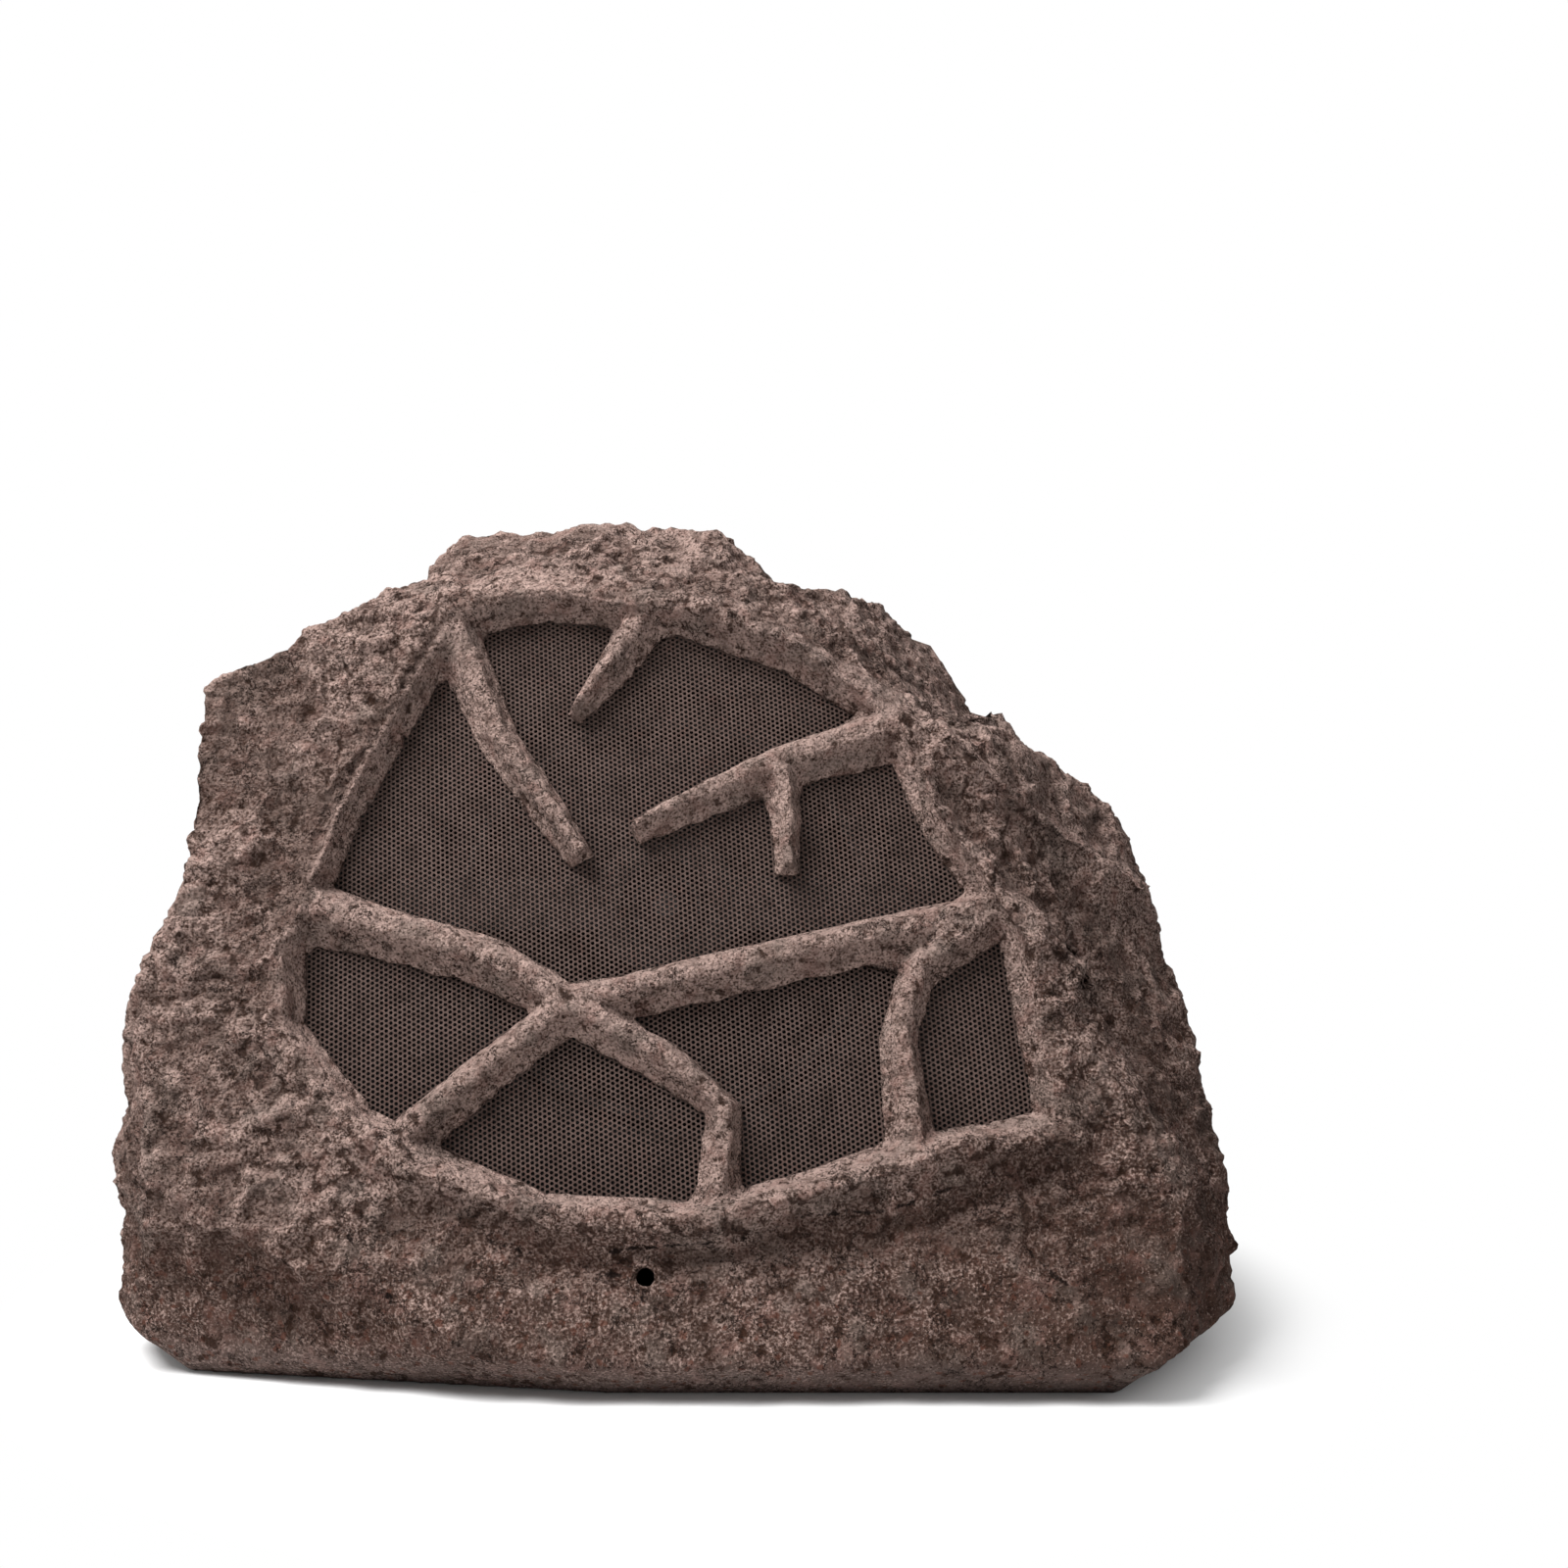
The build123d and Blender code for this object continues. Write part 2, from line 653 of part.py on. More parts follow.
with BuildPart() as baffle_board:
    with BuildSketch(behind(FRONT, BAFFLE_DEPTH)):
        Polygon(*grown(OPENING, BAFFLE_LAP), align=None)
        with Locations(*BAFFLE_SCREW_POINTS):
            RegularPolygon(BAFFLE_EAR / 2, SCREW_SIDES)
        with Locations((WOOFER_X, WOOFER_Y)):
            RegularPolygon(WOOFER_CUTOUT / 2, SIDES, mode=Mode.SUBTRACT)
        with Locations(*BAFFLE_SCREW_POINTS):
            RegularPolygon(SCREW_SHANK / 2 + SLACK, SCREW_SIDES, mode=Mode.SUBTRACT)
    extrude(amount=-BAFFLE_THICKNESS)
    add(board_room, mode=Mode.INTERSECT)
keep(baffle_board.part, "baffle_board")

baffle_screws = screws(
    Plane(behind(FRONT, BAFFLE_BACK).origin, x_dir=FRONT.x_dir, z_dir=-FRONT.z_dir),
    [(x, -y) for x, y in BAFFLE_SCREW_POINTS],
    BAFFLE_SCREW_LENGTH,
)
keep(baffle_screws, "baffle_screws")

# Woofer frame with its windows, and its gasket
keep(washer(WOOFER, BAFFLE_BACK, WOOFER_FLANGE, WOOFER_CUTOUT, WOOFER_GASKET), "woofer_gasket")

SEAT_BACK = SPIDER_SEAT + BASKET_SHEET
basket_wall = hollowed(
    spun([(FLANGE_BACK, BASKET_MOUTH + 2 * BASKET_WALL), (SEAT_BACK, BASKET_WAIST)]),
    spun([(FLANGE_BACK, BASKET_MOUTH), (SEAT_BACK, BASKET_WAIST - 2 * BASKET_WALL)]),
)
basket_flange = washer(WOOFER, FLANGE_DEPTH, WOOFER_FLANGE, WOOFER_CUTOUT, WOOFER_FLANGE_SHEET)
basket_shelf = washer(WOOFER, FLANGE_BACK, BASKET_MOUTH + BASKET_WALL, BASKET_SHELF, BASKET_SHEET)
spider_seat = washer(WOOFER, SPIDER_SEAT, BASKET_WAIST, SPIDER_SEAT_BORE, BASKET_SHEET)
basket_throat = washer(
    WOOFER, SPIDER_SEAT, BASKET_WAIST, BASKET_WAIST - 2 * BASKET_SHEET, BASKET_BACK - SPIDER_SEAT
)
basket_floor = washer(WOOFER, BASKET_BACK - BASKET_SHEET, BASKET_WAIST, BASKET_BORE, BASKET_SHEET)
with BuildPart() as woofer_frame:
    add(basket_wall)
    with BuildSketch(behind(WOOFER, FLANGE_BACK + 2 * BASKET_SHEET)):
        with PolarLocations(BASKET_WINDOW_RADIUS, BASKET_WINDOWS):
            Rectangle(BASKET_WINDOW_WIDTH, BASKET_WINDOW_WIDTH)
    extrude(amount=-(SPIDER_SEAT - FLANGE_BACK - 4 * BASKET_SHEET), mode=Mode.SUBTRACT)
    add([basket_flange, basket_shelf, spider_seat, basket_throat, basket_floor])
keep(woofer_frame.part, "woofer_frame")

# Moving cone, dust cap and voice coil
CONE_EDGE = FLANGE_BACK + CONE_DROP
CONE_NECK = CONE_EDGE + CONE_DEPTH
CONE_BACK = CONE_NECK + CONE_SHEET
FORMER = COIL_BORE + 2 * COIL_FORMER_WALL
woofer_cone = hollowed(
    spun([(CONE_EDGE, CONE_DIAMETER), (CONE_EDGE + CONE_SHEET, CONE_DIAMETER), (CONE_BACK, FORMER)]),
    spun([(CONE_EDGE, CONE_DIAMETER - CONE_SHEET), (CONE_NECK, FORMER), (CONE_BACK, FORMER)]),
)
keep(woofer_cone, "woofer_cone")

CAP_SEAT = CONE_NECK - CONE_DEPTH * (DUST_CAP_DIAMETER - FORMER) / (CONE_DIAMETER - FORMER)
CAP_RIM = CAP_SEAT - SLACK
CAP_TOP = CAP_SEAT - DUST_CAP_RISE
CAP_SHOULDER = CAP_TOP + DUST_CAP_SHOULDER_DROP
woofer_dust_cap = hollowed(
    spun(
        [
            (CAP_TOP, DUST_CAP_CROWN),
            (CAP_SHOULDER, DUST_CAP_SHOULDER),
            (CAP_RIM, DUST_CAP_DIAMETER),
        ]
    ),
    spun(
        [
            (CAP_TOP + DUST_CAP_SHEET, DUST_CAP_CROWN),
            (CAP_SHOULDER + DUST_CAP_SHEET, DUST_CAP_SHOULDER - DUST_CAP_SHEET),
            (CAP_RIM, DUST_CAP_DIAMETER - 3 * DUST_CAP_SHEET),
        ]
    ),
)
keep(woofer_dust_cap, "woofer_dust_cap")

COIL_CENTRE = BASKET_BACK + TOP_PLATE_HEIGHT / 2
COIL_TOP = COIL_CENTRE - COIL_WINDING_HEIGHT / 2
COIL_END = COIL_TOP + COIL_WINDING_HEIGHT
FORMER_TOP = COIL_END + COIL_FORMER_TAIL - COIL_FORMER_HEIGHT
WINDING = FORMER + 2 * COIL_WINDING_WALL
keep(washer(WOOFER, FORMER_TOP, FORMER, COIL_BORE, COIL_FORMER_HEIGHT), "coil_former")
keep(washer(WOOFER, COIL_TOP, WINDING, FORMER, COIL_WINDING_HEIGHT), "voice_coil")

# Surround and spider that carry the cone
ROLL_BORE = CONE_DIAMETER + 2 * MOVING_GAP
ROLL_RIM = ROLL_BORE + 2 * SURROUND_ROLL
ROLL_TOP = FLANGE_BACK - SURROUND_RISE
ROLL_LIP = ROLL_RIM - 2 * SURROUND_SHEET
ROLL_CEILING = ROLL_TOP + SURROUND_SHEET
roll_outside = hollowed(
    spun([(ROLL_TOP, ROLL_RIM - SURROUND_SLOPE), (FLANGE_BACK, ROLL_RIM)]),
    spun([(ROLL_TOP, ROLL_BORE + SURROUND_SLOPE), (FLANGE_BACK, ROLL_BORE)]),
)
roll_inside = hollowed(
    spun([(ROLL_CEILING, ROLL_LIP - SURROUND_SLOPE), (FLANGE_BACK, ROLL_LIP)]),
    spun(
        [
            (ROLL_CEILING, ROLL_BORE + SURROUND_SLOPE + 2 * SURROUND_SHEET),
            (FLANGE_BACK, ROLL_BORE + 2 * SURROUND_SHEET),
        ]
    ),
)
surround_lip = washer(
    WOOFER, FLANGE_BACK - SURROUND_SHEET, WOOFER_CUTOUT - SLACK, ROLL_LIP, SURROUND_SHEET
)
with BuildPart() as woofer_surround:
    add(roll_outside)
    add(roll_inside, mode=Mode.SUBTRACT)
    add(surround_lip)
keep(woofer_surround.part, "woofer_surround")

SPIDER_RIM = BASKET_WAIST - 2 * BASKET_SHEET
SPIDER_TOP = SPIDER_SEAT - SPIDER_SHEET
spider_sheet = washer(WOOFER, SPIDER_TOP, SPIDER_RIM, FORMER + 2 * MOVING_GAP, SPIDER_SHEET)
spider_folds = [
    washer(
        WOOFER,
        SPIDER_TOP - SPIDER_FOLD_RISE,
        bore + 2 * SPIDER_FOLD_WIDTH,
        bore,
        SPIDER_FOLD_RISE,
    )
    for bore in SPIDER_FOLD_BORES
]
spider_grooves = [
    washer(
        WOOFER,
        SPIDER_SEAT - SPIDER_FOLD_RISE,
        bore + 2 * SPIDER_FOLD_WIDTH - 2 * SPIDER_SHEET,
        bore + 2 * SPIDER_SHEET,
        SPIDER_FOLD_RISE,
    )
    for bore in SPIDER_FOLD_BORES
]
with BuildPart() as woofer_spider:
    add(spider_sheet)
    add(spider_folds)
    add(spider_grooves, mode=Mode.SUBTRACT)
keep(woofer_spider.part, "woofer_spider")

# Magnet system
keep(washer(WOOFER, BASKET_BACK, TOP_PLATE_DIAMETER, TOP_PLATE_BORE, TOP_PLATE_HEIGHT), "woofer_top_plate")
MAGNET_DEPTH = BASKET_BACK + TOP_PLATE_HEIGHT
keep(washer(WOOFER, MAGNET_DEPTH, MAGNET_DIAMETER, MAGNET_BORE, MAGNET_HEIGHT), "woofer_magnet")
YOKE_DEPTH = MAGNET_DEPTH + MAGNET_HEIGHT
with BuildPart() as woofer_yoke:
    with BuildSketch(behind(WOOFER, YOKE_DEPTH)):
        RegularPolygon(TOP_PLATE_DIAMETER / 2, SIDES)
    extrude(amount=-YOKE_HEIGHT)
    with BuildSketch(behind(WOOFER, YOKE_DEPTH)):
        RegularPolygon(POLE_DIAMETER / 2, SIDES)
    extrude(amount=YOKE_DEPTH - BASKET_BACK)
keep(woofer_yoke.part, "woofer_yoke")

# Tweeter and its bridge
BRIDGE_FRONT = BAFFLE_DEPTH - BRIDGE_THICKNESS
FACE_BACK = BAFFLE_DEPTH + TWEETER_FACE_LIP
with BuildPart() as tweeter_bridge:
    with BuildSketch(behind(WOOFER, BAFFLE_DEPTH)):
        Rectangle(BRIDGE_LENGTH, BRIDGE_WIDTH)
        RegularPolygon(BRIDGE_RING / 2, SIDES)
        RegularPolygon(BRIDGE_BORE / 2, SIDES, mode=Mode.SUBTRACT)
    extrude(amount=BRIDGE_THICKNESS)
keep(tweeter_bridge.part, "tweeter_bridge")

face_hub = washer(WOOFER, BRIDGE_FRONT, BRIDGE_BORE - 2 * SLACK, TWEETER_MOUTH, BRIDGE_THICKNESS)
face_lip = washer(WOOFER, BAFFLE_DEPTH, TWEETER_FACE, TWEETER_MOUTH, TWEETER_FACE_LIP)
face_flare = spun([(BRIDGE_FRONT, TWEETER_MOUTH + 2 * TWEETER_FLARE), (FACE_BACK, TWEETER_MOUTH)])
with BuildPart() as tweeter_face:
    add([face_hub, face_lip])
    add(face_flare, mode=Mode.SUBTRACT)
keep(tweeter_face.part, "tweeter_face")

DOME_TOP = FACE_BACK - TWEETER_DOME_RISE
CUP_FRONT = FACE_BACK + TWEETER_FILM
dome_outside = spun([(DOME_TOP, TWEETER_DOME_CROWN), (FACE_BACK, TWEETER_DOME)])
dome_inside = spun(
    [(DOME_TOP + TWEETER_FILM, TWEETER_DOME_CROWN), (CUP_FRONT, TWEETER_DOME - TWEETER_FILM)]
)
dome_rim = washer(WOOFER, FACE_BACK, TWEETER_RIM, 0, TWEETER_FILM)
with BuildPart() as tweeter_diaphragm:
    add([dome_outside, dome_rim])
    add(dome_inside, mode=Mode.SUBTRACT)
keep(tweeter_diaphragm.part, "tweeter_diaphragm")

CUP_INSIDE = CUP_FRONT + TWEETER_CUP_HEIGHT - TWEETER_CUP_WALL
tweeter_cup = hollowed(
    washer(WOOFER, CUP_FRONT, TWEETER_RIM, 0, TWEETER_CUP_HEIGHT),
    washer(WOOFER, CUP_FRONT, TWEETER_RIM - 2 * TWEETER_CUP_WALL, 0, CUP_INSIDE - CUP_FRONT),
)
keep(tweeter_cup, "tweeter_cup")
SLUG_FRONT = CUP_INSIDE - TWEETER_MAGNET_HEIGHT
keep(washer(WOOFER, SLUG_FRONT, TWEETER_MAGNET, 0, TWEETER_MAGNET_HEIGHT), "tweeter_magnet")

# Base plate with its gasket and screws
with BuildPart() as base_plate:
    with BuildSketch(Plane.XY.offset(BASE_RECESS)):
        RectangleRounded(BASE_WIDTH, BASE_DEPTH, BASE_CORNER)
        with Locations(*BASE_SCREW_POINTS):
            RegularPolygon(SCREW_SHANK / 2 + SLACK, SCREW_SIDES, mode=Mode.SUBTRACT)
    extrude(amount=BASE_THICKNESS)
    with BuildSketch(BOARD):
        with GridLocations(*BOARD_POST_PITCH, 2, 2):
            RegularPolygon(BOARD_POST / 2, SCREW_SIDES)
    extrude(amount=-BOARD_POST_HEIGHT)
keep(base_plate.part, "base_plate")

with BuildPart() as base_gasket:
    with BuildSketch(Plane.XY.offset(BASE_TOP)):
        RectangleRounded(BASE_WIDTH, BASE_DEPTH, BASE_CORNER)
        RectangleRounded(LEDGE_WIDTH, LEDGE_DEPTH, BASE_CORNER - BASE_LEDGE, mode=Mode.SUBTRACT)
        with Locations(*BASE_SCREW_POINTS):
            RegularPolygon(SCREW_SHANK / 2 + SLACK, SCREW_SIDES, mode=Mode.SUBTRACT)
    extrude(amount=BASE_GASKET)
keep(base_gasket.part, "base_gasket")

base_screws = screws(Plane((0, 0, BASE_RECESS), z_dir=(0, 0, -1)), BASE_SCREW_POINTS, BASE_SCREW_LENGTH)
keep(base_screws, "base_screws")

# Crossover
with BuildPart() as crossover_board:
    with BuildSketch(BOARD):
        Rectangle(BOARD_LENGTH, BOARD_WIDTH)
    extrude(amount=BOARD_SHEET)
keep(crossover_board.part, "crossover_board")

with BuildPart() as crossover_inductor:
    with BuildSketch(BOARD_FACE):
        with Locations(INDUCTOR_POINT):
            RegularPolygon(INDUCTOR_DIAMETER / 2, SIDES)
            RegularPolygon(INDUCTOR_BORE / 2, SIDES, mode=Mode.SUBTRACT)
    extrude(amount=INDUCTOR_HEIGHT)
keep(crossover_inductor.part, "crossover_inductor")

CAPACITOR_END = Plane(
    BOARD_FACE.from_local_coords((*CAPACITOR_POINT, CAPACITOR_DIAMETER / 2)),
    x_dir=(0, 1, 0),
    z_dir=(1, 0, 0),
)
with BuildPart() as crossover_capacitors:
    with BuildSketch(CAPACITOR_END):
        with GridLocations(CAPACITOR_PITCH, CAPACITOR_PITCH, 2, 1):
            RegularPolygon(
                CAPACITOR_DIAMETER / 2, SMALL_SIDES, major_radius=False, rotation=180 / SMALL_SIDES
            )
    extrude(amount=CAPACITOR_LENGTH)
keep(crossover_capacitors.part, "crossover_capacitors")

with BuildPart() as crossover_resistor:
    with BuildSketch(BOARD_FACE):
        with Locations(RESISTOR_POINT):
            Rectangle(RESISTOR_LENGTH, RESISTOR_SIDE)
    extrude(amount=RESISTOR_SIDE)
keep(crossover_resistor.part, "crossover_resistor")

with BuildPart() as crossover_terminals:
    with BuildSketch(BOARD_FACE):
        with Locations(TERMINAL_POINT):
            Rectangle(TERMINAL_LENGTH, TERMINAL_WIDTH)
    extrude(amount=TERMINAL_HEIGHT)
keep(crossover_terminals.part, "crossover_terminals")

# Cable gland
with BuildPart() as gland_body:
    with BuildSketch(GLAND_SEAT):
        RegularPolygon(GLAND_COLLAR / 2, SMALL_SIDES)
    extrude(amount=GLAND_COLLAR_HEIGHT)
    with BuildSketch(GLAND_SEAT):
        RegularPolygon(GLAND_THREAD / 2, SMALL_SIDES)
    extrude(amount=-GLAND_THREAD_LENGTH)
    with BuildSketch(GLAND_SEAT.offset(GLAND_COLLAR_HEIGHT)):
        RegularPolygon(GLAND_SEAL / 2 + SLACK, SMALL_SIDES)
    extrude(amount=-GLAND_COLLAR_HEIGHT - GLAND_THREAD_LENGTH, mode=Mode.SUBTRACT)
keep(gland_body.part, "gland_body")

with BuildPart() as gland_nut:
    with BuildSketch(behind(GLAND_SEAT, GLAND_BOSS_WALL)):
        RegularPolygon(GLAND_NUT_FLATS / 2, 6, major_radius=False)
        RegularPolygon(GLAND_THREAD / 2 + SLACK, SMALL_SIDES, mode=Mode.SUBTRACT)
    extrude(amount=-GLAND_NUT_HEIGHT)
keep(gland_nut.part, "gland_nut")

with BuildPart() as gland_seal:
    with BuildSketch(GLAND_SEAT.offset(GLAND_COLLAR_HEIGHT)):
        RegularPolygon(GLAND_SEAL / 2, SMALL_SIDES)
        Circle(CABLE_BORE / 2, mode=Mode.SUBTRACT)
    extrude(amount=-GLAND_SEAL_LENGTH)
keep(gland_seal.part, "gland_seal")

with BuildPart() as gland_cap:
    with BuildSketch(GLAND_SEAT.offset(GLAND_COLLAR_HEIGHT)):
        RegularPolygon(GLAND_CAP_FLATS / 2, 6, major_radius=False)
    extrude(amount=GLAND_CAP_HEIGHT)
    chamfer(gland_cap.faces().sort_by(Axis.Y)[-1].edges(), GLAND_CAP_CHAMFER)
    with BuildSketch(GLAND_SEAT.offset(GLAND_COLLAR_HEIGHT)):
        RegularPolygon(GLAND_CAP_BORE / 2, SMALL_SIDES)
    extrude(amount=GLAND_CAP_HEIGHT, mode=Mode.SUBTRACT)
keep(gland_cap.part, "gland_cap")
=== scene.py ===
import json
import math

import bpy
import numpy as np
from mathutils import Matrix, Vector
from mathutils.bvhtree import BVHTree

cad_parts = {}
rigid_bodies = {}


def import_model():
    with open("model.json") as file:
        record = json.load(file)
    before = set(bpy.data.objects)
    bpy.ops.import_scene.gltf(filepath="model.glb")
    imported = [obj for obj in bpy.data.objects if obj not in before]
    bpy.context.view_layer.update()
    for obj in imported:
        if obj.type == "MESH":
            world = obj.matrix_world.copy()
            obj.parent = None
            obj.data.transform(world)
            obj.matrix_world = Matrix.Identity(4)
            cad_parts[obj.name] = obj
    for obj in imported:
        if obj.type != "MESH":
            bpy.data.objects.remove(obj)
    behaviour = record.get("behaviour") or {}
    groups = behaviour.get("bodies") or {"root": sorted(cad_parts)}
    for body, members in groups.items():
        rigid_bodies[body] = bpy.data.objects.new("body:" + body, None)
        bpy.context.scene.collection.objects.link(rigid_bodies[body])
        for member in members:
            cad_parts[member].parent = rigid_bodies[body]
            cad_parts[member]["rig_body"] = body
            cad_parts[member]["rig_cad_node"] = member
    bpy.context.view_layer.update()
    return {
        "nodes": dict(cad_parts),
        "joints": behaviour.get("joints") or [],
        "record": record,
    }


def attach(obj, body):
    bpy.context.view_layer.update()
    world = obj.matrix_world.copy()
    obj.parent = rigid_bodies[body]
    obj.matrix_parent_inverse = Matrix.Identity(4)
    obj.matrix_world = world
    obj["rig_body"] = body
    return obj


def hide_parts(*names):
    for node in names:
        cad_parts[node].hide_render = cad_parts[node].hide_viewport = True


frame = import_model()
nodes = frame["nodes"]

MM = 0.001

# The leaning front: its plane behind the raised rim, with the normal towards the listener
FRONT_NORMAL = Vector(frame["joints"][0]["axis"]).normalized()
FRONT_UP = FRONT_NORMAL.cross(Vector((1, 0, 0)))
FRONT_MIDDLE = Vector((0, -122.69, 177)) * MM
GRILLE_DEPTH = 12 * MM

# Stone shell: how finely it is worked, and how far back its front, its drain and its cracks reach
STONE_VOXEL = 1.6 * MM
STONE_TRIANGLES = 190000
STONE_ROUNDINGS = 30
SKY_RAYS = 40
FRONT_HALF = 20 * MM
DRAIN_SIDE = -100 * MM
CRACKED_SIDE = -90 * MM
GLAND_AXIS = (-60 * MM, 52 * MM)
GLAND_CLEAR = 20 * MM
DRAIN = (-11 * MM, 45 * MM)

# Ridges and grooves as seen from the front: height or depth, up to MOST_RISE, and a line of x and z,
# all in mm
RIDGES = [
    (5, [(-112, 96), (-92, 80), (-60, 71), (-25, 66), (5, 65), (40, 71), (75, 80), (108, 92)]),
    (9, [(83, 252), (93, 226), (107, 200), (119, 179), (133, 163)]),
    (10, [(103, 238), (128, 215), (156, 196), (191, 178)]),
    (6, [(137, 162), (151, 152), (161, 123), (171, 100), (187, 75)]),
]
GROOVES = [
    (6, [(-92, 278), (-118, 238), (-140, 203), (-152, 177)]),
    (4, [(104, 224), (120, 200), (138, 181), (160, 168)]),
    (6, [(158, 172), (175, 129), (189, 101), (212, 73)]),
    (5, [(-52, 50), (-24, 47), (4, 49), (28, 53), (56, 56), (85, 61), (112, 70), (140, 82)]),
]
MOST_RISE = 10
RIDGE_WIDTH = 7 * MM

# Cracks as seen from the front: lines of x and z in mm
CRACKS = [
    [(123, 56), (134, 46), (146, 36)],
    [(-123, 66), (-112, 51), (-101, 36)],
    [(-24, 53), (4, 56), (25, 58), (49, 66), (74, 66), (99, 74)],
    [(-67, 56), (-42, 49), (-17, 43)],
    [(-11, 44), (-12, 37)],
]

# Colours of the stone, with painted shade for its hollows, the gaps between its flakes and its clefts
GRAIN_DARK = (0.060, 0.034, 0.026)
GRAIN_LIGHT = (0.385, 0.273, 0.237)
CLAY = (0.20, 0.108, 0.090)
ASH = (0.125, 0.100, 0.086)
STAIN = (0.045, 0.028, 0.023)
FOOT = (0.15, 0.115, 0.105)
RUST = (0.095, 0.038, 0.026)
# Painted shade: the hollows of the relief, the gaps between flakes and the clefts between chips
HOLLOW_SHADE = (0.035, 0.018, 0.013)
GAP_SHADE = (0.026, 0.013, 0.009)
CLEFT_SHADE = (0.022, 0.010, 0.006)
SPECK = (0.014, 0.007, 0.005)
HAIR = (0.014, 0.008, 0.006)
SPLIT = (0.010, 0.006, 0.005)

# Grille perforation: holes on a 60 degree grid, its rows turned a little off upright
HOLE_PITCH = 2.0 * MM
HOLE_INSET = 0.33 * MM
HOLE_TURN = math.radians(3.3)
HOLE_COLUMN = HOLE_PITCH * math.sqrt(3) / 2
SHEET = 1.0 * MM
RIB_REACH = 30 * MM

# Where the sheet is parted behind the ribs: along the two long arms, in mm across and up the front,
# and upright above them
ARMS = [(-158, 3), (-43, -42), (128, -2)]
SHEET_SPLIT = -8 * MM

# Colours of the grille's paint
PAINT_DARK = (0.060, 0.039, 0.033)
PAINT_LIGHT = (0.110, 0.075, 0.065)
PAINT_BLOTCH = (0.036, 0.023, 0.019)
PAINT_RED = (0.11, 0.055, 0.044)

# Floor of white paper, plain white to the eye beyond the shadow, and the lamps as place, size and watts
FLOOR_FADE = (215 * MM, 300 * MM)
ROOM_LIGHT = 0.25
LAMPS = [((-0.7, -0.5, 1.45), 0.8, 51), ((0.9, -0.9, 0.9), 1.0, 2)]
LAMP_AIM = Vector((0, 0, 0.15))
CAMERA_PLACE = (0, -0.652, 0.190)
CAMERA_TILT = math.radians(86)


# Shader building

class Value:
    """A socket of a finish: arithmetic on it adds Math nodes."""

    def __init__(self, finish, socket):
        self.finish = finish
        self.socket = socket

    def math(self, operation, first, second):
        return self.finish.node("Math", {"operation": operation}, {0: first, 1: second})

    def __add__(self, other):
        return self.math("ADD", self, other)

    def __radd__(self, other):
        return self.math("ADD", other, self)

    def __sub__(self, other):
        return self.math("SUBTRACT", self, other)

    def __rsub__(self, other):
        return self.math("SUBTRACT", other, self)

    def __mul__(self, other):
        return self.math("MULTIPLY", self, other)

    def __rmul__(self, other):
        return self.math("MULTIPLY", other, self)

    def step(self, low, high):
        """0 below low, 1 above high and smooth between."""
        return self.finish.node("MapRange", {"interpolation_type": "SMOOTHSTEP"},
                                {"Value": self, "From Min": low, "From Max": high})

    def size(self):
        return self.math("ABSOLUTE", self, 0)

    def part(self, axis):
        return self.finish.node("SeparateXYZ", None, {0: self}, axis)


class Finish:
    """A procedural finish: a material, or the world round the object."""

    def __init__(self, name, **constants):
        self.start(bpy.data.materials.new(name), "Principled BSDF")
        self.place = self.node("TexCoord", out="Object")
        for socket, value in constants.items():
            self.set(socket.replace("_", " "), value)

    def start(self, owner, surface):
        owner.use_nodes = True
        self.owner = owner
        self.tree = owner.node_tree
        self.surface = self.tree.nodes[surface]

    def feed(self, socket, value):
        if isinstance(value, Value):
            self.tree.links.new(value.socket, socket)
        elif socket.type == "RGBA":
            socket.default_value = (*value, 1)
        else:
            socket.default_value = value

    def set(self, socket, value):
        self.feed(self.surface.inputs[socket], value)

    def node(self, kind, settings=None, sockets=None, out=0):
        made = self.tree.nodes.new("ShaderNode" + kind)
        for key, value in (settings or {}).items():
            setattr(made, key, value)
        for key, value in (sockets or {}).items():
            self.feed(made.inputs[key], value)
        return Value(self, made.outputs[out])

    def noise(self, size, detail=3, roughness=0.55, out=0):
        return self.node("TexNoise", None, {
            "Vector": self.place, "Scale": 1 / size, "Detail": detail, "Roughness": roughness}, out)

    def cells(self, size, place=None, out="Distance"):
        return self.node("TexVoronoi", None, {"Vector": place or self.place, "Scale": 1 / size}, out)

    def warped(self, size, amount):
        """The place on the surface, shifted about by a pattern."""
        return self.node("VectorMath", {"operation": "MULTIPLY_ADD"}, {
            0: self.noise(size, 2, out="Color"), 1: (2 * amount,) * 3, 2: self.place})

    def mix(self, mask, first, second):
        return self.node("Mix", {"data_type": "RGBA"}, {0: mask, 6: first, 7: second}, 2)

    def attribute(self, name):
        return self.node("Attribute", {"attribute_name": name}, out="Fac")

    def bump(self, height):
        """Shades the surface as if it rose by this height in metres."""
        self.set("Normal", self.node("Bump", None, {"Height": height, "Distance": 1}))

    def white_to_the_eye(self, white, share=1):
        """Shows a white shader where one looks straight at it, and keeps the surface for its light."""
        eye = self.node("LightPath", out="Is Camera Ray")
        for path in ("Is Glossy Ray", "Is Transmission Ray"):
            eye = eye.math("MAXIMUM", eye, self.node("LightPath", out=path))
        both = self.node("MixShader", None, {
            0: eye * share, 1: Value(self, self.surface.outputs[0]),
            2: self.node(white, None, {"Color": (1, 1, 1)})})
        self.feed(self.tree.get_output_node("ALL").inputs["Surface"], both)


class Surroundings(Finish):
    """The even light from all round."""

    def __init__(self, name, strength):
        self.start(bpy.data.worlds.new(name), "Background")
        self.set("Color", (1, 1, 1))
        self.set("Strength", strength)
        self.white_to_the_eye("Background")


# Modelling helpers

def only(piece):
    """Selects this piece alone."""
    bpy.ops.object.select_all(action="DESELECT")
    piece.select_set(True)
    bpy.context.view_layer.objects.active = piece


def edit(select):
    bpy.ops.object.mode_set(mode="EDIT")
    bpy.ops.mesh.select_all(action=select)


